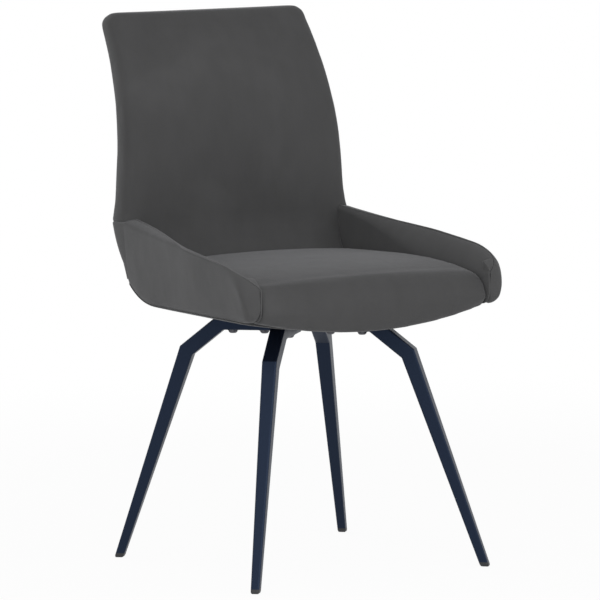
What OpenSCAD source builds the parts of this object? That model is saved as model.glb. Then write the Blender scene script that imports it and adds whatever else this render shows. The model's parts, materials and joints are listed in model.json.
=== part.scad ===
// Upholstered swivel dining chair on four bent steel legs.
// Z points up from the floor, the sitter faces -Y and +X is the sitter's left.

/* [Base] */
// Height of the top of the leg bars above the floor
base_h = 398; // [375:1:420]
// Radius of the circle on which the feet stand
foot_r = 302; // [280:1:330]
// Radius of the knee, the lower bend of a leg
knee_r = 182; // [172:1:195]
// Height of the knee above the floor
knee_h = 340; // [325:1:350]
// Radius of the shoulder, the upper bend of a leg
shoulder_r = 124; // [120:1:135]
// Radius at which the leg bars end, short of the swivel's rivet
bar_end_r = 24; // [20:1:28]
// Width and depth of a leg's tube from its inner end to the knee
leg_w = 24; // [20:1:28]
// Width and depth of a leg's tube at the floor
foot_w = 14; // [13:0.5:18]
// Wall of the leg tube
leg_wall = 2; // [1.5:0.1:2.5]
// Outer corner radius of the leg tube
leg_corner = 2.6; // [2.2:0.1:4]
// Height of the plastic foot below a leg's tube
glide_h = 7; // [5:0.5:10]
// Length of the foot's plug inside the tube
plug_l = 20; // [12:1:30]

/* [Swivel] */
// Thickness of the lower swivel plate, which the legs bolt to
lower_t = 5; // [4:0.5:6]
// Radius of the round middle of the lower plate
lower_r = 62; // [60:1:70]
// Width of the lower plate's four arms
arm_w = 34; // [30:1:40]
// Reach of the lower plate's arms
arm_r = 118; // [116:1:124]
// Thickness of the upper swivel plate, which carries the seat
upper_t = 2.5; // [2:0.5:3]
// Side of the upper plate
upper_w = 130; // [120:1:140]
// Corner radius of the upper plate
upper_corner = 15; // [8:1:20]
// Space between the two plates
plate_gap = 3; // [2.5:0.1:3.5]
// Diameter of a bearing ball
ball_d = 5; // [4.6:0.1:5.4]
// Radius of the circle of balls
race_r = 45; // [42:1:48]
// Number of balls
ball_n = 20; // [12:1:24]
// Thickness of the ball cage
cage_t = 1.4; // [1:0.1:1.8]
// Width of the cage's ring
cage_w = 11; // [9:0.5:13]
// Radius of the hollow rivet that the seat turns on
rivet_r = 10; // [8:0.5:12]
// Running clearance between the rivet and the upper plate
rivet_play = 0.05; // [0.02:0.01:0.08]

/* [Fasteners] */
// Shank radius of a leg bolt
bolt_r = 3.9; // [2.9:0.1:4.4]
// Clearance around a leg bolt in the tube
bolt_play = 0.3; // [0.1:0.05:0.5]
// Head radius of a leg bolt
bolt_head_r = 7; // [6:0.5:8]
// Head height of a leg bolt
bolt_head_h = 4; // [3:0.5:5]
// Radius of the inner bolt of each leg from the swivel's axis
bolt_in_r = 54; // [50:1:60]
// Radius of the outer bolt of each leg from the swivel's axis
bolt_out_r = 106; // [100:1:108]
// Washer radius
washer_r = 8.5; // [8:0.5:10]
// Washer thickness
washer_t = 1.5; // [1:0.1:2]
// Side of the square of the four seat screws
seat_screw_pitch = 100; // [90:1:104]
// Shank radius of a seat screw
seat_screw_r = 2.9; // [2.4:0.1:3.4]
// Flange radius of a tee nut
tee_flange_r = 9.5; // [8:0.5:11]
// Shank radius of a wood screw
wood_screw_r = 2; // [1.5:0.1:2.5]
// Length of a wood screw
wood_screw_l = 20; // [16:1:24]

/* [Seat] */
// Thickness of the plywood spacer under the seat board
spacer_t = 11.5; // [9:0.5:15]
// Side of the plywood spacer
spacer_w = 150; // [140:1:170]
// Thickness of the seat board
board_t = 12; // [10:0.5:15]
// Thickness of the cushion over the seat board at its crown
cushion_t = 63; // [50:1:75]
// Distance from the swivel's axis to the front of the cushion
seat_front = 247; // [235:1:265]
// Radius of the recess in the underside, which the legs turn in
recess_r = 150; // [146:1:160]
// Depth of the boat-shaped underside below the seat board
keel_t = 27; // [20:1:30]

/* [Wings] */
// Distance from the middle to the outer face of a wing board
wing_x = 213; // [200:1:225]
// Toe-out of the wings: how far they spread per millimetre forward
toe = 0.05; // [0.04:0.002:0.056]
// Height of a wing's ridge over the seat board, abreast of the axis
wing_h = 98; // [88:1:106]
// Thickness of a wing board
wing_board_t = 9; // [7:0.5:12]
// Padding outside a wing board at the panel's shoulder
wing_out_t = 18.6; // [15:0.2:22]
// Padding inside a wing board
wing_in_t = 7; // [6:0.5:10]
// Distance from the swivel's axis to the nose of a wing
nose_front = 238; // [230:1:246]

/* [Backrest] */
// Height of the backrest's top edge over the seat board
back_h = 446; // [420:1:470]
// Half the width of the backrest just above the wings
back_w_low = 206; // [195:1:210]
// Half the width of the backrest at its top
back_w_top = 183; // [165:1:195]
// Thickness of the backrest at its edges
back_t = 51; // [44:1:60]
// How far the middle of the backrest swells forward
back_crown = 10; // [4:1:16]
// Distance from the swivel's axis to the backrest's rear face
back_y = 229; // [222:1:234]
// How far the backrest's top leans behind its lower part
back_lean = 76; // [50:1:90]
// Thickness of the moulded plywood back board
back_board_t = 9; // [7:0.5:12]
// Thickness of the padded rear panel
rear_panel_t = 8; // [6:0.5:10]

/* [Hidden] */
$fn = 48;
// Clearance between padded pieces and what they rest on
gap = 0.3;
// Clearance between padding and the curved back board or the rear wrap
curve_gap = 0.9;

bar_z = base_h - leg_w / 2;
lower_top = base_h + lower_t;
upper_bottom = lower_top + plate_gap;
upper_top = upper_bottom + upper_t;
board_bottom = upper_top + spacer_t;
board_top = board_bottom + board_t;
top_z = board_top + back_h;
ball_z = lower_top + plate_gap / 2;

// Plan of the wings and of the tub's rear
wing_rear = 174;
tub_rear = back_y + 6;
corner_r = 40;
nose_r = 20;
panel_front = nose_front - nose_r - 3;
cushion_rear = 140;
board_front = 192;

// The tub's heel: its underside turns up from here and reaches its rear face at the top
heel_y = 92;
heel_h = 150;
board_rear = heel_y - 2;
// Height over the board's underside at which the rear panel starts
wrap_foot = 36;

// The back board's foot and the bend above it
bend_r = 0.8 * heel_h;
foot_front = 62;
bend_y = back_y - rear_panel_t - curve_gap - bend_r;
bend_z = board_top + bend_r;

// The frame's origin lies midway between the cushion's front and the backrest's top
swivel_y = (seat_front - (back_y + back_lean)) / 2;

function lerp(a, b, t) = a + (b - a) * t;
function clamp01(t) = max(0, min(1, t));
// Drop of a quarter circle of height h at the fraction t of its run
function round_off(h, t) = h * (1 - sqrt(1 - pow(clamp01(t), 2)));

// Twice the area of a flat triangle, positive when it turns left
function turn(a, b, c) = (b[0] - a[0]) * (c[1] - a[1]) - (b[1] - a[1]) * (c[0] - a[0]);
function covers(a, b, c, p) = p != a && p != b && p != c && turn(a, b, p) >= 0 && turn(b, c, p) >= 0 && turn(c, a, p) >= 0;
function near(list, i, step) = list[(i + step + len(list)) % len(list)];
function is_ear(P, ids, i) = let (a = P[near(ids, i, -1)], b = P[ids[i]], c = P[near(ids, i, 1)])
    turn(a, b, c) > 0.001 && len([for (j = ids) if (covers(a, b, c, P[j])) j]) == 0;
function next_ear(P, ids, i) = i == len(ids) - 1 || is_ear(P, ids, i) ? i : next_ear(P, ids, i + 1);
// A flat outline cut into triangles, one ear after the other
function triangles(P, ids) = len(ids) == 3 ? [ids] : let (i = next_ear(P, ids, 0))
    concat([[near(ids, i, -1), ids[i], near(ids, i, 1)]], triangles(P, [for (k = [0:len(ids) - 1]) if (k != i) ids[k]]));

function sum(list, i = 0) = i == len(list) ? 0 : list[i] + sum(list, i + 1);
function turns_left(P) = sum([for (i = [0:len(P) - 1]) turn(P[0], P[i], P[(i + 1) % len(P)])]) > 0;
// The ring as seen along an axis
function flat(ring, axis) = [for (p = ring) [p[(axis + 1) % 3], p[(axis + 2) % 3]]];
function cap(P) = triangles(turns_left(P) ? P : [for (p = P) [p[1], p[0]]], [for (j = [0:len(P) - 1]) j]);

// A skin over rings with equally many points, which lie across the axis, closed at both ends
module loft(rings, axis) {
    n = len(rings[0]);
    last = len(rings) - 1;
    faces = concat(
        [for (i = [0:last - 1], j = [0:n - 1]) let (k = (j + 1) % n, a = i * n, b = a + n)
            each [[a + j, a + k, b + k], [a + j, b + k, b + j]]],
        [for (t = cap(flat(rings[0], axis))) [t[2], t[1], t[0]]],
        [for (t = cap(flat(rings[last], axis))) [for (j = t) last * n + j]]
    );
    inward = turns_left(flat(rings[0], axis)) != (rings[last][0][axis] > rings[0][0][axis]);
    polyhedron(points = [for (r = rings) each r], faces = [for (f = faces) inward ? f : [f[2], f[1], f[0]]], convexity = 6);
}

// Legs

// Unit direction and left-hand normal of a step in the leg's own plane of radius and height
function unit(v) = v / norm(v);
function normal(v) = [-unit(v)[1], unit(v)[0]];
// The offset per unit of depth at a mitred bend between two steps
function mitre(v1, v2) = (normal(v1) + normal(v2)) / (1 + normal(v1) * normal(v2));

foot_slope = (foot_r - knee_r) / knee_h;
function foot_at(z) = [foot_r - z * foot_slope, z];
function foot_w_at(z) = lerp(foot_w, leg_w, z / knee_h);
shin = foot_at(0) - [knee_r, knee_h];
thigh = [knee_r - shoulder_r, knee_h - bar_z];

// Rounded square of width w: pairs of width across and depth in the leg's plane
function tube_section(w, r) = [for (q = [0:3], k = [0:3]) let (a = q * 90 + k * 30, c = w / 2 - r)
    [c * sign(cos(q * 90 + 45)) + r * cos(a), c * sign(sin(q * 90 + 45)) + r * sin(a)]];

function leg_ring(p, m, w, r) = [for (s = tube_section(w, r)) [p[0] + s[1] * m[0], s[0], p[1] + s[1] * m[1]]];
// A level cut through the shin at height z
function shin_ring(z, w, r) = leg_ring(foot_at(z), [1 / normal(shin)[0], 0], w, r);

function leg_rings(inset) = let (r = max(leg_corner - inset, 0.6)) [
    leg_ring([bar_end_r, bar_z], [0, 1], leg_w - 2 * inset, r),
    leg_ring([shoulder_r, bar_z], mitre([1, 0], thigh), leg_w - 2 * inset, r),
    leg_ring([knee_r, knee_h], mitre(thigh, shin), leg_w - 2 * inset, r),
    shin_ring(glide_h, foot_w_at(glide_h) - 2 * inset, r)
];

// Faces of a tube: the outer rings, the inner rings turned inside out and two rims
function tube_faces(rings, n) = let (m = rings * n) concat(
    [for (i = [0:rings - 2], j = [0:n - 1]) let (k = (j + 1) % n, a = i * n, b = a + n)
        each [[b + k, a + k, a + j], [b + j, b + k, a + j],
              [m + b + j, m + a + j, m + a + k], [m + b + k, m + b + j, m + a + k]]],
    [for (j = [0:n - 1]) let (k = (j + 1) % n, e = m - n)
        each [[m + k, m + j, j], [k, m + k, j], [m + e + k, e + k, e + j], [m + e + j, m + e + k, e + j]]]
);

module leg() {
    color("#1f2430") difference() {
        polyhedron(
            points = concat([for (r = leg_rings(0)) each r], [for (r = leg_rings(leg_wall)) each r]),
            faces = tube_faces(4, 16), convexity = 6
        );
        for (r = [bolt_in_r, bolt_out_r])
            translate([r, 0, base_h - leg_w - 1]) cylinder(r = bolt_r + bolt_play, h = leg_w + 2);
    }
}

// Plastic foot: a domed sole, a collar as wide as the tube and a plug that fills it
module foot() {
    plug_w = foot_w_at(glide_h) - 2 * leg_wall - 2 * gap / 2;
    color("#15171b") loft([
        for (s = [[0, 4], [0.1, 2], [0.25, 0.8], [0.6, 0]])
            shin_ring(s[0] * glide_h, foot_w_at(s[0] * glide_h) - s[1], leg_corner - s[1] / 4),
        shin_ring(glide_h, foot_w_at(glide_h), leg_corner),
        shin_ring(glide_h, plug_w, 0.8),
        shin_ring(glide_h + plug_l, plug_w, 0.8)
    ], 2);
}

// The four legs stand on the diagonals
module at_leg(side, end) {
    translate([0, swivel_y, 0]) rotate([0, 0, atan2(end, side)]) children();
}

module each_leg_bolt() {
    for (a = [45:90:315], r = [bolt_in_r, bolt_out_r])
        translate([0, swivel_y, 0]) rotate([0, 0, a]) translate([r, 0, 0]) children();
}

module leg_washers() {
    color("#3a3d44") each_leg_bolt() translate([0, 0, base_h - leg_w - washer_t]) difference() {
        cylinder(r = washer_r, h = washer_t);
        translate([0, 0, -1]) cylinder(r = bolt_r + bolt_play, h = washer_t + 2);
    }
}

// Button-head bolts from below, threaded into the lower plate
module leg_bolts() {
    head_z = base_h - leg_w - washer_t - bolt_head_h;
    color("#3a3d44") each_leg_bolt() difference() {
        union() {
            translate([0, 0, head_z]) cylinder(r1 = bolt_head_r * 0.7, r2 = bolt_head_r, h = bolt_head_h / 2);
            translate([0, 0, head_z + bolt_head_h / 2]) cylinder(r = bolt_head_r, h = bolt_head_h / 2);
            translate([0, 0, head_z + bolt_head_h / 2]) cylinder(r = bolt_r, h = lower_top - head_z - bolt_head_h / 2);
        }
        translate([0, 0, head_z - 1]) cylinder(r = bolt_r * 0.6, h = bolt_head_h / 2 + 1, $fn = 6);
    }
}

// Swivel

module race_groove(z) {
    translate([0, 0, z]) rotate_extrude() translate([race_r, 0]) circle(r = ball_d / 2 + 0.1);
}

module lower_swivel_plate() {
    color("#2b2e35") translate([0, swivel_y, 0]) difference() {
        translate([0, 0, base_h]) union() {
            cylinder(r = lower_r, h = lower_t);
            for (a = [45, 135]) rotate([0, 0, a]) difference() {
                translate([-arm_r, -arm_w / 2, 0]) cube([2 * arm_r, arm_w, lower_t]);
                for (s = [-1, 1], t = [-1, 1]) translate([s * arm_r, t * arm_w / 2, 0])
                    rotate([0, 0, 45]) cube([arm_w / 3, arm_w / 3, 3 * lower_t], center = true);
            }
        }
        race_groove(ball_z);
        translate([0, 0, base_h - 1]) cylinder(r = rivet_r + rivet_play, h = lower_t + 2);
        for (a = [45:90:315], r = [bolt_in_r, bolt_out_r])
            rotate([0, 0, a]) translate([r, 0, base_h - 1]) cylinder(r = bolt_r + 0.1, h = lower_t + 2);
    }
}

// Hollow rivet with a lower flange under the plate and a rolled upper flange over the washer
module pivot_rivet() {
    flange = 4;
    low = base_h - 2;
    high = upper_top + washer_t + 0.1;
    color("#8c9097") translate([0, swivel_y, 0]) difference() {
        union() {
            translate([0, 0, low]) cylinder(r = rivet_r + flange, h = 2);
            translate([0, 0, low]) cylinder(r = rivet_r, h = high + 2 - low);
            translate([0, 0, high]) cylinder(r = rivet_r + flange, h = 2);
        }
        translate([0, 0, low - 1]) cylinder(r = rivet_r - 2.5, h = high - low + 4);
    }
}

module pivot_washer() {
    color("#d8d4c8") translate([0, swivel_y, upper_top]) difference() {
        cylinder(r = rivet_r + 5, h = washer_t);
        translate([0, 0, -1]) cylinder(r = rivet_r + rivet_play, h = washer_t + 2);
    }
}

module ball_cage() {
    color("#c9c6bd") translate([0, swivel_y, ball_z - cage_t / 2]) difference() {
        cylinder(r = race_r + cage_w / 2, h = cage_t);
        translate([0, 0, -1]) cylinder(r = race_r - cage_w / 2, h = cage_t + 2);
        for (i = [0:ball_n - 1]) rotate([0, 0, i * 360 / ball_n])
            translate([race_r, 0, -1]) cylinder(r = ball_d / 2 + 0.15, h = cage_t + 2);
    }
}

module bearing_balls() {
    color("#b8bcc2") translate([0, swivel_y, ball_z])
        for (i = [0:ball_n - 1]) rotate([0, 0, i * 360 / ball_n]) translate([race_r, 0, 0]) sphere(d = ball_d);
}

module each_seat_screw() {
    for (x = [-0.5, 0.5], y = [-0.5, 0.5])
        translate([x * seat_screw_pitch, swivel_y + y * seat_screw_pitch, 0]) children();
}

module upper_swivel_plate() {
    c = upper_w / 2 - upper_corner;
    color("#2b2e35") difference() {
        translate([0, swivel_y, upper_bottom]) union() {
            for (x = [-c, c], y = [-c, c]) translate([x, y, 0]) cylinder(r = upper_corner, h = upper_t);
            translate([-upper_w / 2, -c, 0]) cube([upper_w, 2 * c, upper_t]);
            translate([-c, -upper_w / 2, 0]) cube([2 * c, upper_w, upper_t]);
        }
        translate([0, swivel_y, 0]) race_groove(ball_z);
        translate([0, swivel_y, upper_bottom - 1]) cylinder(r = rivet_r + rivet_play, h = upper_t + 2);
        each_seat_screw() translate([0, 0, upper_bottom - 0.01])
            cylinder(r1 = seat_screw_r + upper_t + 0.1, r2 = seat_screw_r + 0.1, h = upper_t + 0.02);
    }
}

// Countersunk screws, flush under the upper plate, which end in the tee nuts
module seat_screws() {
    color("#8c9097") each_seat_screw() difference() {
        union() {
            translate([0, 0, upper_bottom]) cylinder(r1 = seat_screw_r + upper_t, r2 = seat_screw_r, h = upper_t);
            translate([0, 0, upper_bottom + upper_t / 2]) cylinder(r = seat_screw_r, h = board_top - upper_bottom - upper_t / 2 - 2);
        }
        translate([0, 0, upper_bottom - 1]) cylinder(r = seat_screw_r * 0.7, h = 2.5, $fn = 6);
    }
}

tee_barrel_r = seat_screw_r + 1.2;
tee_t = 1.5;

module tee_nuts() {
    color("#a9adb3") each_seat_screw() translate([0, 0, board_top - tee_t]) difference() {
        union() {
            cylinder(r = tee_flange_r, h = tee_t);
            translate([0, 0, tee_t - board_t + 2]) cylinder(r = tee_barrel_r, h = board_t - 2);
        }
        translate([0, 0, -board_t]) cylinder(r = seat_screw_r + 0.1, h = board_t + tee_t + 1);
    }
}

module spacer_board() {
    color("#c8a878") difference() {
        translate([-spacer_w / 2, swivel_y - spacer_w / 2, upper_top]) cube([spacer_w, spacer_w, spacer_t]);
        translate([0, swivel_y, upper_top - 1]) cylinder(r = rivet_r + 8, h = spacer_t + 2);
        each_seat_screw() translate([0, 0, upper_top - 1]) cylinder(r = tee_barrel_r, h = spacer_t + 2);
    }
}

// Seat board

// Inner and outer faces of a wing board at the distance y behind the axis
function board_out_x(y) = wing_x - toe * y;
function board_in_x(y) = board_out_x(y) - wing_board_t * sqrt(1 + toe * toe) - 0.01;

module seat_board() {
    side = [for (y = [-board_front, board_rear]) [board_in_x(y), y]];
    color("#c8a878") difference() {
        translate([0, swivel_y, board_bottom]) linear_extrude(board_t)
            polygon([side[0], side[1], [-side[1][0], side[1][1]], [-side[0][0], side[0][1]]]);
        each_seat_screw() {
            translate([0, 0, board_bottom - 1]) cylinder(r = tee_barrel_r + 0.1, h = board_t + 2);
            translate([0, 0, board_top - tee_t]) cylinder(r = tee_flange_r + 0.1, h = tee_t + 1);
        }
        each_back_screw() translate([0, 0, board_top - wood_screw_l]) cylinder(r = wood_screw_r + 0.1, h = wood_screw_l + 1);
        for (s = [-1, 1]) each_wing_screw(s) rotate([0, 90, 0])
            translate([0, 0, -wood_screw_l]) cylinder(r = wood_screw_r + 0.1, h = wood_screw_l + 1);
    }
}

// Cushion and underside

cushion_steps = 8;
// Thickness of the underside's padding at the sides
edge_t = 2;
// Distance that the cushion's front stands ahead of the axis, bowed across the fraction s of its width
function front_y(s) = -(seat_front - 11 * pow(s, 2));
// Height of the boat-shaped underside at the fraction s of its width
function keel_z(s) = board_bottom - keel_t + (keel_t - edge_t) * pow(s, 2);
function cushion_half(y) = board_in_x(y) - wing_in_t - gap;
function cushion_top(s) = board_top + cushion_t - 8 * pow(s, 2) - round_off(14, (abs(s) - 0.93) / 0.07);

// The cushion is relieved over the back board's foot and the start of its bend
foot_clear = bend_z - sqrt(pow(bend_r - back_board_t, 2) - pow(cushion_rear - bend_y, 2)) + curve_gap;

// Side view of the cushion at the fraction s of its width, from its rear foot round the front
function cushion_profile(s) = let (f = front_y(s), t = cushion_top(s), k = keel_z(s) + 0.5, r = 24, b = 10) concat(
    [[cushion_rear, foot_clear], [foot_front - gap, foot_clear], [foot_front - gap, board_top + gap]],
    [[-board_front - gap, board_top + gap], [-board_front - gap, k]],
    [for (a = [0:22.5:90]) [f + 8 + b - b * sin(a), k + b - b * cos(a)]],
    [for (i = [1:4]) let (u = i / 5) [f + 8 * pow(1 - u, 1.6), lerp(k + b, t - r - 4, u)]],
    [for (a = [0:22.5:90]) [f + r * (1 - cos(a)), t - r - 4 + r * sin(a)]],
    [for (i = [1:6]) let (u = i / 7) [lerp(f + r, cushion_rear - 16, u), t - 4 + 4 * sin(180 * pow(u, 0.8))]],
    [for (a = [0:30:90]) [cushion_rear - 16 + 16 * sin(a), t - 4 - 16 * (1 - cos(a))]]
);

module seat_cushion() {
    color("#5a5c60") translate([0, swivel_y, 0]) loft(
        [for (i = [-cushion_steps:cushion_steps]) let (s = sin(i * 90 / cushion_steps))
            [for (p = cushion_profile(s)) [s * cushion_half(p[0]), p[0], p[1]]]], 0
    );
}

// The tub's outer rear face at height z, which turns under towards the seat board
function tub_rear_at(z) = heel_y + (tub_rear - heel_y)
    * sqrt(1 - pow(clamp01(1 - (z - board_bottom) / heel_h), 2));
tub_foot = tub_rear_at(board_bottom + wrap_foot);
function keel_fade(y) = 1 - pow(clamp01((y - 20) / (tub_foot - 20)), 2);
function keel_at(s, y) = wing_low(y) - gap - edge_t - (board_bottom - edge_t - keel_z(s)) * keel_fade(y);
// Half the width of the underside, which turns in round the tub's rear corners
function keel_half(y) = board_out_x(min(y, wing_rear)) + 4
    - round_off(corner_r, (y - wing_rear) / (tub_foot - wing_rear));

function underside_ring(y, top) = let (w = keel_half(y)) concat(
    [for (i = [6:-1:-6]) let (s = i / 6) [s * w, y, keel_at(s, y)]], [[-w, y, top], [w, y, top]]
);

module underside_pad() {
    ys = concat([-board_front, -130, -65, 0, 50], [for (a = [0:15:90]) lerp(heel_y, tub_foot, sin(a))]);
    color("#5a5c60") translate([0, swivel_y, 0]) difference() {
        loft([for (y = ys) underside_ring(y, wing_low(y) - 2 * gap)], 1);
        translate([0, 0, board_bottom - 2 * keel_t]) cylinder(r = recess_r, h = 2 * keel_t + 1, $fn = 96);
    }
}

// Thin cloth stapled to the seat board, inside the recess and round the spacer
module dust_cover() {
    cloth = 0.8;
    hole = spacer_w + 4;
    color("#222326") translate([0, swivel_y, board_bottom - cloth]) difference() {
        cylinder(r = recess_r - 1, h = cloth, $fn = 96);
        translate([-hole / 2, -hole / 2, -1]) cube([hole, hole, cloth + 2]);
    }
}

// Wings

nose_turn = 90;
shoulder_turn = 93;
// Outer edge of the nose's flat front, measured from the board's outer face
nose_end = 4;
// How far round the nose a station is, for a turn that takes the length l: 0 at its root, 1 at its tip
function nose_at(y, l) = clamp01((l - nose_front - y) / l);
function nose_cos(y, l) = sqrt(1 - pow(nose_at(y, l), 2));
// How far a station lies along the ridge's way in to the backrest
function ridge_in(y) = pow(sin(90 * clamp01((y + 60) / (wing_rear + 60))), 1.5);
// Height of the ridge at the distance y behind the axis: a straight rise aft, which falls over the nose
function crest(y) = board_top + wing_h + 0.12 * y - 27 * (1 - nose_cos(y, nose_turn));
function wing_low(y) = board_bottom + gap + round_off(18, nose_at(y, nose_r))
    + round_off(heel_h, (y - heel_y) / (tub_rear - heel_y));
// Height of the shoulder, above which the outer padding turns in to the ridge
function shoulder_z(y) = max(wing_low(y) + 6,
    board_top + wing_h + 0.12 * y - 3 - 11 * ridge_in(y) - round_off(64, nose_at(y, shoulder_turn)));
board_drop = 24;
// Stations along a wing, shared by its board and its padding
wing_ys = [for (i = [0:9]) lerp(8 - panel_front, wing_rear - 2, i / 9)];
// The outer padding thins towards the rear
function side_t(y) = wing_out_t - 6 * clamp01((y + 40) / 200);
// Place of the ridge, measured out from the board's outer face: it runs in over the nose and towards the backrest
function ridge_x(y) = y < -60 ? lerp(-14, side_t(y), nose_cos(y, nose_turn)) : lerp(side_t(y), -10, ridge_in(y));

// Outer padding over the wing board at the fraction f of the way from its foot to the shoulder
function panel_t(f, y) = let (t = 5 + (side_t(y) - 5) * pow(f, 0.7)) nose_end + (t - nose_end) * nose_cos(y, nose_r);

// The panel's turn from its shoulder in to the ridge, at the fraction v of the way
function shoulder_at(y, v) = [lerp(panel_t(1, y), ridge_x(y), v),
    lerp(shoulder_z(y), crest(y), 0.45 * sqrt(1 - pow(1 - v, 2)) + 0.55 * v)];
// The roll's fall from the ridge to its inner face, at the fraction u of the way
function inner_at(y, u) = let (in = -wing_board_t - wing_in_t, w = ridge_x(y) - in)
    [ridge_x(y) - w * u, crest(y) - 0.87 * w * (0.6 * u + 0.4 * (1 - sqrt(1 - u * u)))];
// Top of the wing board's padding channel
function cap_z(y) = crest(y) - board_drop + gap;
// The joint between roll and panel, slightly bowed, at the fraction t of the way from the board's top to the ridge
function joint_at(y, t) = [lerp(0, ridge_x(y), t) - 0.5 * sin(180 * t), lerp(cap_z(y), crest(y), t)];

// Cross-section of the nose, measured from the board's outer face
function nose_section(y) = let (low = wing_low(y), s = shoulder_z(y), in = -wing_board_t - wing_in_t) concat(
    [for (u = [0:0.2:1]) inner_at(y, u)],
    [[in, low + 2], [in + 3, low], [2, low], [panel_t(0, y), low + 3]],
    [for (f = [0.35, 0.7, 1]) [panel_t(f, y), lerp(low + 3, s, f)]],
    [for (v = [0.3, 0.65]) shoulder_at(y, v)]
);

// Cross-section of the roll behind the nose, which sits on the wing board and meets the panel along the ridge
function roll_section(y) = let (
    in = -wing_board_t - wing_in_t, base = max(board_top + gap, wing_low(y)), cap = cap_z(y), step = 2 * gap
) concat(
    [for (u = [0:0.2:1]) inner_at(y, u) - [step * (1 - u), 0]],
    [[in, base], [-wing_board_t - gap, base], [-wing_board_t - gap, cap], [-step, cap]],
    [for (i = [1:5]) joint_at(y, i / 6) - [step, 0]]
);

function wing_ring(section, y) = [for (p = section) [board_out_x(y) + p[0], y, p[1]]];

module wing_roll() {
    nose = [for (a = [90, 72, 54, 36, 18, 0]) nose_r - nose_front - nose_r * sin(a)];
    body = concat([gap - panel_front], wing_ys, [wing_rear]);
    color("#5a5c60") loft(concat(
        [for (y = concat(nose, [-panel_front - gap])) wing_ring(nose_section(y), y)],
        [for (y = body) wing_ring(roll_section(y), y)]
    ), 1);
}

// The panel beside the board, up to its shoulder and in over the roll to the ridge
module wing_panel() {
    ys = concat([gap - panel_front], wing_ys, [wing_rear]);
    color("#66686c") loft([for (y = ys) let (low = wing_low(y), s = shoulder_z(y)) wing_ring(concat(
        [for (i = [0:5]) joint_at(y, i / 6) + [gap, 0]], [for (v = [1, 0.8, 0.6, 0.4, 0.2]) shoulder_at(y, v)],
        [for (f = [1:-0.2:0.2]) [panel_t(f, y), lerp(low, s, f)]], [[panel_t(0, y), low + 4], [3, low], [gap, low]]
    ), y)], 1);
}

// Side boards, toed out, as high as the ridge allows
module wing_board() {
    heel = [for (a = [75:-25:0]) lerp(heel_y, wing_rear - 2, sin(a))];
    outline = concat([[wing_rear - 2, wing_low(wing_rear - 2) + 1]], [for (y = heel) [y, wing_low(y) + 1]],
        [[-panel_front + 8, board_bottom + gap + 1]], [for (y = wing_ys) [y, crest(y) - board_drop]]);
    color("#c8a878") difference() {
        translate([wing_x, 0, 0]) rotate([0, 0, atan(toe)]) rotate([90, 0, -90])
            linear_extrude(wing_board_t) polygon([for (p = outline) [-p[0], p[1]]]);
        translate([0, -swivel_y, 0]) each_wing_screw(1) rotate([0, 90, 0]) {
            translate([0, 0, -1]) cylinder(r = wood_screw_r + 0.1, h = wing_board_t + 2);
            translate([0, 0, wing_board_t - wood_screw_r])
                cylinder(r1 = wood_screw_r + 0.1, r2 = 2 * wood_screw_r + 0.1, h = wood_screw_r + 0.01);
        }
    }
}

module wing(side) {
    translate([0, swivel_y, 0]) mirror([side < 0 ? 1 : 0, 0, 0]) children();
}

// Seats of the screws through a wing board into the seat board's edge, from the board's inner face
module each_wing_screw(side) {
    translate([0, swivel_y, 0]) mirror([side < 0 ? 1 : 0, 0, 0]) for (y = [-150, -75, 0, 75])
        translate([board_in_x(y), y, board_bottom + board_t / 2]) rotate([0, 0, atan(toe)]) children();
}

// A countersunk screw along Z, its head flush at z = 0 and its point down
module wood_screw(head_at) {
    difference() {
        union() {
            translate([0, 0, head_at - wood_screw_r]) cylinder(r1 = wood_screw_r, r2 = 2 * wood_screw_r, h = wood_screw_r);
            translate([0, 0, head_at - wood_screw_l]) cylinder(r = wood_screw_r, h = wood_screw_l - wood_screw_r / 2);
        }
        translate([0, 0, head_at - 1.2]) cylinder(r = wood_screw_r * 0.6, h = 2, $fn = 4);
    }
}

module wing_board_screws() {
    color("#b9b39a") for (s = [-1, 1]) each_wing_screw(s) rotate([0, 90, 0]) wood_screw(wing_board_t);
}

// Backrest

lumbar = 208;
top_round = 20;
edge_in = 16;
// Height over the seat board, as a fraction of the way from the lumbar to the top
function lean_at(z) = back_lean * pow(clamp01((z - board_top - lumbar) / (back_h - lumbar - top_round)), 2);
function back_rear(z) = back_y + lean_at(z);
tub_top = crest(wing_rear);
// Where the backrest's section changes from the one between the wings to the free one
tub_lip = tub_top + 2 * gap;
function back_half(z) = z < tub_top + 4 ? back_w_low - 3
    : back_w_low - (back_w_low - back_w_top) * pow(clamp01((z - tub_top - 14) / (top_z - top_round - tub_top - 14)), 1.25);

// The back board's lower end turns forward on a bend and lies on the seat board
function board_rear_at(z) = back_rear(z) - rear_panel_t - curve_gap;
function board_front_at(z) = z < bend_z
    ? bend_y + sqrt(pow(bend_r - back_board_t, 2) - pow(min(bend_z - z, bend_r - back_board_t), 2))
    : board_rear_at(z) - back_board_t;

// Front of the cushion at the side, which comes forward below the wings' crest to meet the seat
function back_front(z) = z > tub_lip ? back_rear(z) - back_t
    : lerp(cushion_rear + gap, back_rear(z) - back_t, pow(sin(90 * clamp01((z - board_top - 40) / (tub_top - board_top - 40))), 0.7));

front_r = 16;
rear_r = 20;
pocket_top = top_z - top_round - 6;
// The face that bears on the back board, and above the board the backrest's own rear face
function back_pocket(z, rear) = z > pocket_top + 1 ? rear : board_front_at(z) - curve_gap;
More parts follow.
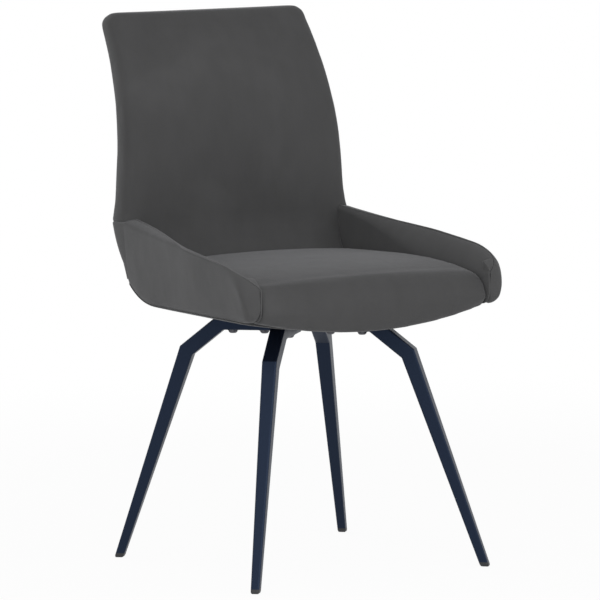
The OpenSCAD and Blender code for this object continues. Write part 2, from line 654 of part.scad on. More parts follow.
// Right half of the backrest's outline at height z, from the front round the side to its pocket
function back_side(z, inset) = let (
    inside = z <= tub_lip, w = back_half(z) - inset, f = back_front(z) + inset,
    rear = (inside ? wrap_in_y(z) - curve_gap : back_rear(z)) - inset,
    cx = inside ? wrap_cx(z) : w - rear_r, cy = inside ? wrap_cy(z) : rear - rear_r,
    e = w - edge_in, a = acos((e - cx) / (w - cx)), y1 = min(f + 2, wing_rear - 2)
) concat(
    inside
        ? [[cushion_half(y1), y1], [cushion_half(wing_rear), wing_rear + gap], [w - 1, wing_rear + gap], [w, wing_rear + 1.5]]
        : [for (a = [20:23:89]) [w - front_r + front_r * sin(a), f + front_r - front_r * cos(a)]],
    [for (i = [0:3]) [cx + (w - cx) * cos(a * i / 3), cy + (rear - cy) * sin(a * i / 3)]],
    [[e, back_pocket(z, rear)]]
);

function back_ring(z, inset) = let (
    half = back_side(z, inset), f = back_front(z) + inset, n = len(half),
    side = z <= tub_lip ? cushion_half(f) : back_half(z) - inset - front_r,
    crown = back_crown * clamp01((z - board_top - 60) / 120)
) concat(
    [for (i = [-5:5]) let (s = i / 5) [s * side, f - crown * (1 - pow(s, 2)), z]],
    [for (p = half) [p[0], p[1], z]],
    [for (i = [n - 1:-1:0]) [-half[i][0], half[i][1], z]]
);

module back_cushion() {
    inside = [for (h = [25, 30, 37, 46, 58, 72, 88, 104]) board_top + h];
    above = concat([tub_lip + 1], [for (u = [0:9]) lerp(tub_top + 5, pocket_top + 0.5, u / 9)]);
    color("#5a5c60") translate([0, swivel_y, 0]) loft(concat(
        [for (z = inside) back_ring(z, 0)],
        [back_ring(tub_lip, 0)],
        [for (z = above) back_ring(z, 0)],
        [back_ring(pocket_top + 3, 0)],
        [for (a = [0:20:80]) back_ring(top_z - top_round * (1 - sin(a)), top_round * (1 - cos(a)))]
    ), 2);
}

// A band that follows the backrest's rear face between two depths behind it, w narrower than the backrest
module back_band(d0, d1, low, high, side) {
    steps = 16;
    zs = [for (i = [0:steps]) lerp(low, high, i / steps)];
    intersection() {
        rotate([90, 0, 90]) translate([0, 0, -300]) linear_extrude(600)
            polygon(concat([for (z = zs) [back_rear(z) - d0, z]], [for (i = [steps:-1:0]) [back_rear(zs[i]) - d1, zs[i]]]));
        rotate([90, 0, 0]) translate([0, 0, -500]) linear_extrude(1000)
            polygon(concat([for (z = zs) [back_half(z) - side, z]], [for (i = [steps:-1:0]) [side - back_half(zs[i]), zs[i]]]));
    }
}

side_clear = edge_in + 2 * curve_gap;

module each_back_screw() {
    for (x = [-150, -50, 50, 150]) translate([x, swivel_y + (foot_front + bend_y) / 2, 0]) children();
}

// Moulded plywood: an upright leaf, a quarter bend and a foot that is screwed down
module back_board() {
    w = back_w_low - 3 - side_clear;
    arc = [for (a = [0:9:90]) a];
    color("#c8a878") difference() {
        union() {
            translate([0, swivel_y, 0]) back_band(rear_panel_t + curve_gap, rear_panel_t + curve_gap + back_board_t, bend_z, pocket_top, side_clear);
            translate([-w, swivel_y, 0]) rotate([90, 0, 90]) linear_extrude(2 * w) polygon(concat(
                [for (a = arc) [bend_y + bend_r * cos(a), bend_z - bend_r * sin(a)]],
                [[foot_front, board_top], [foot_front, board_top + back_board_t]],
                [for (i = [10:-1:0]) [bend_y + (bend_r - back_board_t) * cos(arc[i]), bend_z - (bend_r - back_board_t) * sin(arc[i])]]
            ));
        }
        each_back_screw() translate([0, 0, board_top - 1]) {
            cylinder(r = wood_screw_r + 0.1, h = back_board_t + 2);
            translate([0, 0, 1 + back_board_t - wood_screw_r])
                cylinder(r1 = wood_screw_r + 0.1, r2 = 2 * wood_screw_r + 0.1, h = wood_screw_r + 0.01);
        }
    }
}

module back_board_screws() {
    color("#b9b39a") each_back_screw() translate([0, 0, board_top]) wood_screw(back_board_t);
}

module back_panel() {
    color("#66686c") translate([0, swivel_y, 0]) back_band(0, rear_panel_t, wrap_top + gap, pocket_top, side_clear);
}

// The tub's padded rear panel, which turns round both rear corners to the wings
wrap_t = 6;
wrap_top = shoulder_z(wing_rear) + 10;
// Half the tub's width at height z: the panel's outside, without and with the round along the top edge
function wrap_side(z) = let (low = wing_low(wing_rear))
    board_out_x(wing_rear) + panel_t(clamp01((z - low) / (shoulder_z(wing_rear) - low)), wing_rear);
function wrap_half(z) = let (s = shoulder_z(wing_rear))
    lerp(wrap_side(z), wrap_in_x + 1.4, pow(clamp01((z - s) / (wrap_top - s)), 1.6));
// Centre of the rounded corners at height z, and the panel's inner face behind it
function wrap_cx(z) = wrap_side(z) - corner_r;
function wrap_cy(z) = max(wing_rear + 2, tub_rear_at(z) - corner_r);
function wrap_in_y(z) = tub_rear_at(z) - wrap_t;
wrap_in_x = back_w_low - 3 + curve_gap;

function wrap_ring(z) = let (
    w = wrap_half(z), y = tub_rear_at(z) - round_off(4, (z - wrap_top + 9) / 9), cx = wrap_cx(z), cy = wrap_cy(z),
    outer = concat([[w, wing_rear + gap]], [for (a = [0:11.25:90]) [cx + (w - cx) * cos(a), cy + (y - cy) * sin(a)]]),
    inner = concat([[wrap_in_x, wing_rear + gap]],
        [for (a = [0:15:90]) [cx + (wrap_in_x - cx) * cos(a), cy + (wrap_in_y(z) - cy) * sin(a)]])
) concat(
    [for (p = outer) [p[0], p[1], z]],
    [for (i = [len(outer) - 1:-1:0]) [-outer[i][0], outer[i][1], z]],
    [for (p = inner) [-p[0], p[1], z]],
    [for (i = [len(inner) - 1:-1:0]) [inner[i][0], inner[i][1], z]]
);

module rear_wrap() {
    zs = concat([for (h = [0, 5, 11, 19, 30, 44, 62]) board_bottom + wrap_foot + h], [for (d = [9, 6.5, 4, 2, 0]) wrap_top - d]);
    color("#66686c") translate([0, swivel_y, 0]) loft([for (z = zs) wrap_ring(z)], 2);
}

at_leg(1, -1) leg();  // leg_front_left
at_leg(-1, -1) leg();  // leg_front_right
at_leg(1, 1) leg();  // leg_rear_left
at_leg(-1, 1) leg();  // leg_rear_right
at_leg(1, -1) foot();  // foot_front_left
at_leg(-1, -1) foot();  // foot_front_right
at_leg(1, 1) foot();  // foot_rear_left
at_leg(-1, 1) foot();  // foot_rear_right
leg_bolts();
leg_washers();
lower_swivel_plate();
pivot_rivet();
ball_cage();
bearing_balls();
upper_swivel_plate();
pivot_washer();
seat_screws();
tee_nuts();
spacer_board();
seat_board();
seat_cushion();
underside_pad();
dust_cover();
wing(1) wing_board();  // wing_board_left
wing(-1) wing_board();  // wing_board_right
wing_board_screws();
wing(1) wing_panel();  // wing_panel_left
wing(-1) wing_panel();  // wing_panel_right
wing(1) wing_roll();  // wing_roll_left
wing(-1) wing_roll();  // wing_roll_right
rear_wrap();
back_board();
back_board_screws();
back_cushion();
back_panel();
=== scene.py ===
"""Dresses the swivel chair: velvet tub and back, coated steel base, ball bearing, plywood and dust cover."""

import json
import math
from functools import cached_property

import bmesh
import bpy
import numpy as np
from mathutils import Matrix, Vector


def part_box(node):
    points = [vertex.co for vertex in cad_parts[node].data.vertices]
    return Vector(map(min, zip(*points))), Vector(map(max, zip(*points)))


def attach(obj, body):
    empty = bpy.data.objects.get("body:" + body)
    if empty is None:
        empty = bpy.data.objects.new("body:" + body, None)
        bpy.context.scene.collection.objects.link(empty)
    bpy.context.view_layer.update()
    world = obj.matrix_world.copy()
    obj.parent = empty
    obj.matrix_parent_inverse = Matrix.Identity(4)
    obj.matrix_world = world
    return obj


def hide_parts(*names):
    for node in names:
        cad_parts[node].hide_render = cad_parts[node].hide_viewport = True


bl_info = {
    "name": "Padded swivel chair",
    "version": (1, 0, 0),
    "blender": (4, 5, 0),
    "location": "3D View > Sidebar > Chair",
    "description": "Upholsters and finishes a padded swivel chair on its frame of solids",
    "category": "Object",
}

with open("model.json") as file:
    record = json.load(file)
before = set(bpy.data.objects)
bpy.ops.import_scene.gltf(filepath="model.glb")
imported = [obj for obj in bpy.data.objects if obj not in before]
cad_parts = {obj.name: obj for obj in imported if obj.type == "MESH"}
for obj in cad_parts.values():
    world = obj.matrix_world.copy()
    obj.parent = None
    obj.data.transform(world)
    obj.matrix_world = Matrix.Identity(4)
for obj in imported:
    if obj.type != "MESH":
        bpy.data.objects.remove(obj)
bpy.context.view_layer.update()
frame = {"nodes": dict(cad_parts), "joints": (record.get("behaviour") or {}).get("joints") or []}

# The chair's measures in millimetres. y runs aft from the swivel's axis.
AXIS_Y = 1000 * frame["joints"][0]["pos_m"][1]
BOARD_BOTTOM = 1000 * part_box("seat_board")[0].z
BOARD_TOP = 1000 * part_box("seat_board")[1].z
TOP_Z = 1000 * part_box("back_cushion")[1].z
GAP = 0.3  # air between two pieces
CURVE_GAP = 0.9  # the same between curved faces

# Seat
CUSHION_T = 63
CUSHION_REAR = 140
SEAT_FRONT = 247
FRONT_BOW = 11  # how far the front falls back at its sides
FRONT_ROUND = 44
FRONT_DIP = 9  # how much lower the top is at the front
FACE_HOLLOW = 8  # how far the front face falls back to its foot
FACE_MIN = 4  # least height of the front face between its rounds
SKIRT_LIFT = 0.5  # how far the cushion's foot ends above the line of the underside
SIDE_FALL = 8  # how much lower the top is at the sides
SIDE_ROUND = 14
SIDE_SHARE = 0.07  # share of the half width that the side's round takes
SEAT_CROWN = 4
REAR_ROUND = 16
FOOT_ROUND = 10
FOOT_FRONT = 62  # where the foot that fills the tub's heel starts
BOARD_FRONT = 192
RECESS_R = 150
KEEL_T = 27  # depth of the underside in the middle, and EDGE_T at its sides
KEEL_OUT = 4  # how far the underside reaches past the wing boards
KEEL_FADE = 20  # where the keel starts to fade towards the heel
KEEL_TUCK, KEEL_TUCK_FADE = 1.5, 30  # how far it is drawn in at its edges, and how soon that fades
EDGE_T = 2
LINER_R = RECESS_R - 1.5
LINER_T = 0.3
LINER_HOLE = 154

# Wings
WING_X = 213
TOE = 0.05  # how far a wing turns out per millimetre forward
WING_H = 98
WING_RISE = 0.12  # how far the ridge rises per millimetre aft
WING_REAR = 174
WING_BOARD_T = 9
WING_IN_T = 7
WING_OUT_T = 18.6
THIN_FROM, THIN_RUN, THIN_BY = -40, 200, 6  # where the outer padding thins, over how long, by how much
NOSE_FRONT = 238
NOSE_R = 20
NOSE_END = 4  # padding left at the tip of the nose
NOSE_BULGE = 0.8  # how far the panel's closed front end stands forward
NOSE_TURN = 90  # length over which the ridge turns down at the nose
NOSE_DROP = 27  # how far the ridge falls there
NOSE_LIFT = 18  # how far the lower edge rises there
NOSE_RIDGE_X = -14  # the ridge's place out from the board at the tip
REAR_RIDGE_X = -10  # and at its rear end
RIDGE_BEND = -60  # where the ridge starts to run in to the backrest
SHOULDER_TURN = 93  # length over which the shoulder turns down at the nose
SHOULDER_FALL = 64
SHOULDER_DROP = 3  # how far the shoulder lies below the ridge
SHOULDER_REAR_DROP = 4  # how much more at the rear
SHOULDER_MIN = 6
SHOULDER_ROUND = 0.92  # share of a quarter circle in the turn, the rest straight
ROLL_ROUND = 0.7  # the same in the roll's fall
ROLL_STEEP = 1.25  # height of the roll's fall against its width
SEAM_DIP = 1.2
PANEL_FRONT = NOSE_FRONT - NOSE_R - 3  # front end of the wing board
PANEL_FOOT_T = 1
PANEL_LIFT = 0.8  # how far the panel starts above the wing's lower edge
PANEL_TUCK, PANEL_TUCK_FADE = 2.6, 26  # how far the panel is drawn in at its foot, and how soon that fades
BOARD_DROP = 24  # how far the wing board ends below the ridge
CORNER_R = 31

# Backrest
BACK_H = TOP_Z - BOARD_TOP
BACK_W_LOW = 206
BACK_W_TOP = 183
BACK_T = 51
BACK_CROWN = 10
BACK_CROWN_FROM, BACK_CROWN_RUN = 60, 120  # its start over the seat board, and the height that it grows in
BACK_FOOT = 25  # height over the seat board where the back cushion starts
BACK_Y = 229
BACK_LEAN = 76
BACK_BOARD_T = 9
BACK_TUCKED = BACK_W_LOW - 3  # half the back cushion's width inside the tub
REAR_PANEL_T = 8
REAR_PANEL_EDGE = 2.4
COVER_EASE = 3.5  # how much wider the cover is than the solid, a side
RIM_FLARE = 6.5  # how far the cover flares out to the tub's rim
RIM_FLARE_H = 62
NARROW_FROM = 14  # height over the tub where the back starts to narrow
SWEEP_FROM = 40  # height over the seat board where its front starts to sweep
LUMBAR = 208  # height over the seat board where the back starts to lean
TOP_ROUND = 20
EDGE_IN = 16  # how far the panel's pocket lies in from the sides
FRONT_R = 16
REAR_R = 20
TUB_REAR = BACK_Y + 6
HEEL_Y = 92  # where the tub's lower edge starts to rise
HEEL_H = 150
WRAP_FOOT = 36
WRAP_T = 6
WRAP_LIP = 1.4  # thickness of the tub's padding at its rim
WRAP_ROUND = 9
WRAP_ROUND_IN = 4  # how far the rim turns in over its round
BEND_R = 0.8 * HEEL_H
BEND_Y = BACK_Y - REAR_PANEL_T - CURVE_GAP - BEND_R
BEND_Z = BOARD_TOP + BEND_R
POCKET_TOP = TOP_Z - TOP_ROUND - 6


# Shape functions, which take numbers or whole arrays


def lerp(a, b, t):
    """The value a fraction t of the way from a to b: a + (b - a) t."""
    return a + (b - a) * t


def unit(t):
    """t held between 0 and 1."""
    return np.clip(t, 0, 1)


def quarter(h, t):
    """Drop at the fraction t of the run of a quarter circle of height h: h (1 - sqrt(1 - t^2))."""
    return h * (1 - np.sqrt(1 - unit(t) ** 2))


def degrees(low, high, n):
    """n angles from low to high degrees, in radians."""
    return np.radians(np.linspace(low, high, n))


def board_out_x(y):
    """Outer face of a wing board, which toes out by TOE per millimetre forward."""
    return WING_X - TOE * y


def cushion_half(y):
    """Half the seat's width: the wing board's inner face less the wing's inner padding and a gap."""
    return board_out_x(y) - WING_BOARD_T * math.sqrt(1 + TOE * TOE) - WING_IN_T - GAP


def front_y(s):
    """Front of the cushion at the fraction s of its half width: a parabola that falls back at the sides."""
    return -(SEAT_FRONT - FRONT_BOW * s**2)


def keel_z(s):
    """Height of the boat-shaped underside: a parabola across the seat."""
    return BOARD_BOTTOM - KEEL_T + (KEEL_T - EDGE_T) * s**2


def cushion_top(s):
    """Height of the cushion: a parabola across the seat, and a quarter circle over each side edge."""
    return BOARD_TOP + CUSHION_T - SIDE_FALL * s**2 - quarter(SIDE_ROUND, 1 + (np.abs(s) - 1) / SIDE_SHARE)


def nose_at(y, run):
    """How far round the nose a station is, for a turn of length run: 0 at its root, 1 at its tip."""
    return unit((run - NOSE_FRONT - y) / run)


def nose_cos(y, run):
    """What is left of a width that closes on a quarter circle over the nose."""
    return np.sqrt(1 - nose_at(y, run) ** 2)


def ridge_in(y):
    """How far along the ridge's way in to the backrest a station lies: a sine to the power 1.5."""
    return np.sin(np.pi / 2 * unit((y - RIDGE_BEND) / (WING_REAR - RIDGE_BEND))) ** 1.5


def crest(y):
    """Height of a wing's ridge: a straight rise aft, less a quarter circle over the nose."""
    return BOARD_TOP + WING_H + WING_RISE * y - NOSE_DROP * (1 - nose_cos(y, NOSE_TURN))


def wing_low(y):
    """Lower edge of a wing: level, rounded up at the nose and along the tub's heel."""
    heel = quarter(HEEL_H, (y - HEEL_Y) / (TUB_REAR - HEEL_Y))
    return BOARD_BOTTOM + GAP + quarter(NOSE_LIFT, nose_at(y, NOSE_R)) + heel


def shoulder_z(y):
    """Height where the outer padding turns in to the ridge: lower at the rear and over the nose."""
    nose = quarter(SHOULDER_FALL, nose_at(y, SHOULDER_TURN))
    level = BOARD_TOP + WING_H + WING_RISE * y - SHOULDER_DROP - SHOULDER_REAR_DROP * ridge_in(y) - nose
    return np.maximum(wing_low(y) + SHOULDER_MIN, level)


def side_t(y):
    """Padding outside a wing board at the shoulder, thinner towards the rear."""
    return WING_OUT_T - THIN_BY * unit((y - THIN_FROM) / THIN_RUN)


def ridge_x(y):
    """Place of the ridge out from the board: it runs in over the nose and towards the backrest."""
    ahead = lerp(NOSE_RIDGE_X, side_t(y), nose_cos(y, NOSE_TURN))
    return np.where(y < RIDGE_BEND, ahead, lerp(side_t(y), REAR_RIDGE_X, ridge_in(y)))


def panel_t(f, y):
    """Padding at the fraction f of the way from foot to shoulder: a power curve, drawn in at the nose."""
    rise = (side_t(y) - NOSE_END - PANEL_FOOT_T) * f**0.7
    return NOSE_END + (PANEL_FOOT_T + rise) * nose_cos(y, NOSE_R)


def shoulder_at(y, v):
    """The panel's turn from its shoulder (v = 0) to the ridge (v = 1): nearly a quarter circle."""
    rise = lerp(v, 1 - quarter(1, 1 - v), SHOULDER_ROUND)
    return rows(lerp(panel_t(1.0, y), ridge_x(y), v), lerp(shoulder_z(y), crest(y), rise))


def inner_at(y, u):
    """The roll's fall from the ridge (u = 0) to its inner face (u = 1): part line, part quarter circle."""
    width = ridge_x(y) + WING_BOARD_T + WING_IN_T
    return rows(ridge_x(y) - width * u, crest(y) - ROLL_STEEP * width * lerp(u, quarter(1, u), ROLL_ROUND))


def tub_rear_at(z):
    """The tub's rear face: a quarter ellipse that turns under at the heel."""
    return HEEL_Y + (TUB_REAR - HEEL_Y) * np.sqrt(1 - unit(1 - (z - BOARD_BOTTOM) / HEEL_H) ** 2)


TUB_FOOT = float(tub_rear_at(BOARD_BOTTOM + WRAP_FOOT))
TUB_TOP = float(crest(WING_REAR))
TUB_LIP = TUB_TOP - 7
WRAP_TOP = TUB_TOP - 1.5


def keel_half(y):
    """Half the width of the underside, which turns in round the tub's rear corners on a quarter ellipse."""
    corner = quarter(CORNER_R, (y - WING_REAR) / (TUB_FOOT - WING_REAR))
    return board_out_x(np.minimum(y, WING_REAR)) + KEEL_OUT - corner


def keel_at(s, y):
    """Underside's height: the parabola across the seat, faded out towards the heel."""
    fade = 1 - unit((y - KEEL_FADE) / (TUB_FOOT - KEEL_FADE)) ** 2
    return wing_low(y) - GAP - EDGE_T - (BOARD_BOTTOM - EDGE_T - keel_z(s)) * fade


def back_rear(z):
    """Rear face of the backrest: upright to the lumbar, then a parabola that leans back."""
    return BACK_Y + BACK_LEAN * unit((z - BOARD_TOP - LUMBAR) / (BACK_H - LUMBAR - TOP_ROUND)) ** 2


def back_free(z):
    """Half the backrest's width above the tub, narrowing on a power curve."""
    start = TUB_TOP + NARROW_FROM
    narrowing = unit((z - start) / (TOP_Z - TOP_ROUND - start)) ** 1.25
    return BACK_W_LOW + COVER_EASE - (BACK_W_LOW - BACK_W_TOP) * narrowing


def back_half(z):
    """Half the back cushion's width: constant in the tub, and flared out to the tub's rim above it."""
    flare = RIM_FLARE * (1 - unit((z - TUB_LIP) / RIM_FLARE_H)) ** 2.4
    return np.where(z < TUB_LIP, BACK_TUCKED, back_free(z) + flare)


def back_front(z):
    """Front of the backrest's sides: parallel to its rear, and swept forward in the tub to the seat."""
    start = BOARD_TOP + SWEEP_FROM
    sweep = np.sin(np.pi / 2 * unit((z - start) / (TUB_TOP - start))) ** 0.7
    free = back_rear(z) - BACK_T
    return np.where(z > TUB_LIP, free, lerp(CUSHION_REAR + GAP, free, sweep))


def board_front_at(z):
    """Front face of the back board: a quarter circle at its foot, then parallel to the rear face."""
    r = BEND_R - BACK_BOARD_T
    bend = BEND_Y + np.sqrt(r**2 - np.clip(BEND_Z - z, 0, r) ** 2)
    return np.where(z < BEND_Z, bend, back_rear(z) - REAR_PANEL_T - CURVE_GAP - BACK_BOARD_T)


def wrap_side(z):
    """Half the tub's width at height z: the outer panel's surface."""
    low = wing_low(WING_REAR)
    return board_out_x(WING_REAR) + panel_t(unit((z - low) / (shoulder_z(WING_REAR) - low)), WING_REAR)


def wrap_half(z):
    """Half the tub's width with the round along its top edge, a power curve."""
    shoulder = float(shoulder_z(WING_REAR))
    turn = unit((z - shoulder) / (WRAP_TOP - shoulder)) ** 1.6
    return lerp(wrap_side(z), BACK_TUCKED + CURVE_GAP + WRAP_LIP, turn)


def wrap_centre(z):
    """Centre of the tub's rounded rear corner at height z."""
    return wrap_side(z) - CORNER_R, np.maximum(WING_REAR + 2, tub_rear_at(z) - CORNER_R)


# Meshes


def at_chair(points):
    """Points in millimetres aft of the swivel's axis, moved to the chair's frame in metres."""
    return (np.asarray(points, float) + [0, AXIS_Y, 0]) * 0.001


def spread(points, n):
    """Rows of k corner points, cut evenly into rows of n points: straight lines between the corners."""
    points = np.asarray(points, float)
    at = np.linspace(0, points.shape[-2] - 1, n)
    low = np.minimum(at.astype(int), points.shape[-2] - 2)
    part = (at - low)[:, None]
    return points[..., low, :] * (1 - part) + points[..., low + 1, :] * part


def rows(*columns):
    """Broadcasts a point's coordinates to one grid and stacks them: (m, k, number of coordinates)."""
    return np.stack(np.broadcast_arrays(*columns), -1)


def outline(at, *points):
    """Corner points of an outline for each value of the column at, with which they may vary."""
    return np.concatenate([rows(a + 0 * at, b + 0 * at) for a, b in points], 1)


def added(name, data):
    """A new object of the scene that holds a mesh, a lamp or a camera."""
    made = bpy.data.objects.new(name, data)
    bpy.context.scene.collection.objects.link(made)
    return made


def skin(name, grid, ring=False):
    """A mesh over an m by n grid of points, each row of which is a closed loop. Neighbouring points make a
    square. With ring the last row joins the first, and otherwise one face closes each end row."""
    m, n = grid.shape[:2]
    i, j = np.meshgrid(np.arange(m if ring else m - 1), np.arange(n), indexing="ij")
    a, b = i * n + j, i * n + (j + 1) % n
    c, d = (i + 1) % m * n + (j + 1) % n, (i + 1) % m * n + j
    faces = np.stack([a, b, c, d], -1).reshape(-1, 4).tolist()
    if not ring:
        faces += [list(range(n))[::-1], list(range((m - 1) * n, m * n))]
    mesh = bpy.data.meshes.new(name)
    mesh.from_pydata(grid.reshape(-1, 3), [], faces)
    shell = bmesh.new()
    shell.from_mesh(mesh)
    bmesh.ops.remove_doubles(shell, verts=shell.verts, dist=1e-6)
    bmesh.ops.recalc_face_normals(shell, faces=shell.faces)
    shell.to_mesh(mesh)
    shell.free()
    mesh.shade_smooth()
    mesh.set_sharp_from_angle(angle=math.radians(50))
    return added(name, mesh)


def settled(piece):
    """Replaces a piece's mesh with what its modifiers make of it, and takes the modifiers off."""
    shown = piece.evaluated_get(bpy.context.evaluated_depsgraph_get())
    mesh = bpy.data.meshes.new_from_object(shown)
    piece.modifiers.clear()
    piece.data = mesh
    mesh.shade_smooth()
    return piece


def corners(mesh):
    """The mesh's points as an array."""
    co = np.empty(len(mesh.vertices) * 3)
    mesh.vertices.foreach_get("co", co)
    return co.reshape(-1, 3)


def put_corners(mesh, co):
    """Moves the mesh's points to co."""
    mesh.vertices.foreach_set("co", np.ascontiguousarray(co, dtype=np.float32).ravel())
    mesh.update()


def directions(mesh):
    """The mesh's outward unit vector at each point."""
    out = np.empty(len(mesh.vertices) * 3)
    mesh.vertex_normals.foreach_get("vector", out)
    return out.reshape(-1, 3)


def relaxed(mesh, co, times, part=0.5, back=1.04):
    """Each point moved by part of the way to the mean of its neighbours, then back by a little more so that
    the volume is kept, times over. With back at 0 it only moves in, which rounds edges."""
    ends = np.empty(len(mesh.edges) * 2, np.int64)
    mesh.edges.foreach_get("vertices", ends)
    a, b = ends[0::2], ends[1::2]
    count = np.bincount(ends, minlength=len(co))[:, None]
    for _ in range(times):
        for step in (part, -part * back):
            total = np.stack(
                [np.bincount(a, co[b, k], len(co)) + np.bincount(b, co[a, k], len(co)) for k in range(3)], -1
            )
            co = co + step * (total / count - co)
    return co


def foamed(piece, voxel, times=4):
    """Turns a closed piece into even squares of side voxel and takes the stair steps out."""
    melt = piece.modifiers.new("even squares", "REMESH")
    melt.mode, melt.voxel_size, melt.adaptivity = "VOXEL", voxel, 0
    settled(piece)
    put_corners(piece.data, relaxed(piece.data, corners(piece.data), times))
    return piece


def blown(piece, inset, limit, pressure=4.0, frames=20):
    """Draws a foam piece in by inset along its normals, and lets a cover with air pressure behind it swell
    it. Each point keeps what it swelled outward, up to limit, and that swelling is evened out with its
    neighbours'."""
    mesh = piece.data
    rest = corners(mesh) - inset * directions(mesh)
    put_corners(mesh, rest)
    cloth = piece.modifiers.new("cover", "CLOTH")
    cloth.settings.quality = 4
    cloth.settings.mass = 0.3
    cloth.settings.tension_stiffness = cloth.settings.compression_stiffness = 20
    cloth.settings.bending_stiffness = 4.0
    cloth.settings.use_pressure = True
    cloth.settings.uniform_pressure_force = pressure
    cloth.settings.effector_weights.gravity = 0
    cloth.collision_settings.use_collision = False
    scene = bpy.context.scene
    for step in range(1, frames + 1):
        scene.frame_set(step)
    shown = piece.evaluated_get(bpy.context.evaluated_depsgraph_get())
    swollen = corners(shown.data)
    piece.modifiers.clear()
    scene.frame_set(1)
    out = directions(mesh)
    proud = np.clip(((swollen - rest) * out).sum(1, keepdims=True), 0, limit)
    put_corners(mesh, relaxed(mesh, rest + relaxed(mesh, proud * out, 16, back=0), 3))
    return piece


def smoother(piece, levels=1):
    """Adds a subdivision surface, the same in the view and the render."""
    rounder = piece.modifiers.new("fine cover", "SUBSURF")
    rounder.levels = rounder.render_levels = levels
    return piece


def cord_along(name, path, radius, sides=10):
    """A round cord: at each point of the path a circle of radius across the path's direction. The circle's
    first axis is the path's direction crossed with one close to the x axis, along which the path never
    runs."""
    along = np.gradient(path, axis=0)
    along /= np.linalg.norm(along, axis=1, keepdims=True)
    across = np.cross(along, [1.0, 0.02, 0.01])
    across /= np.linalg.norm(across, axis=1, keepdims=True)
    other = np.cross(along, across)
    turn = np.linspace(0, 2 * np.pi, sides, endpoint=False)[None, :, None]
    r = np.broadcast_to(radius, len(path))[:, None, None]
    grid = path[:, None] + r * (np.cos(turn) * across[:, None] + np.sin(turn) * other[:, None])
    return skin(name, grid)


def dress(piece, node_names, cover):
    """Puts a piece on the seat, in place of its solids, with its cover."""
    piece.data.materials.clear()
    piece.data.materials.append(finish(cover))
    if node_names:
        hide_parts(*node_names)
    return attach(piece, "seat")


def mirrored(grid, side):
    """The same grid on the chair's left (side 1) or right (side -1)."""
    return grid * [side, 1, 1]


# Finishes, whose sizes are in metres

PLY_PAIR = 0.0030
DOT_STEP = 0.0026


class Wire:
    """A socket of a material, so that shader maths reads as Python: 1 - a * b adds two Math nodes."""

    def __init__(self, finish, socket):
        self.finish, self.socket = finish, socket

    def maths(self, operation, *values, clamp=False):
        """One Math node's result."""
        settings = {"operation": operation, "use_clamp": clamp}
        return self.finish.wire("ShaderNodeMath", settings, dict(enumerate(values)))

    def __add__(self, other):
        return self.maths("ADD", self, other)

    __radd__ = __add__

    def __mul__(self, other):
        return self.maths("MULTIPLY", self, other)

    __rmul__ = __mul__

    def __sub__(self, other):
        return self.maths("SUBTRACT", self, other)

    def __rsub__(self, other):
        return self.maths("SUBTRACT", other, self)

    def __pow__(self, other):
        return self.maths("POWER", self, other)

    def held(self):
        """The value between 0 and 1."""
        return self.maths("ADD", self, 0.0, clamp=True)

    def wave(self, rate):
        """The sine of the value times rate, from 0 to 1."""
        return self.maths("SINE", self * rate) * 0.5 + 0.5

    def eased(self, low, high):
        """0 below low, 1 above high, and a smooth step between."""
        ends = {"Value": self, "From Min": low, "From Max": high}
        return self.finish.wire("ShaderNodeMapRange", {"interpolation_type": "SMOOTHSTEP"}, ends)


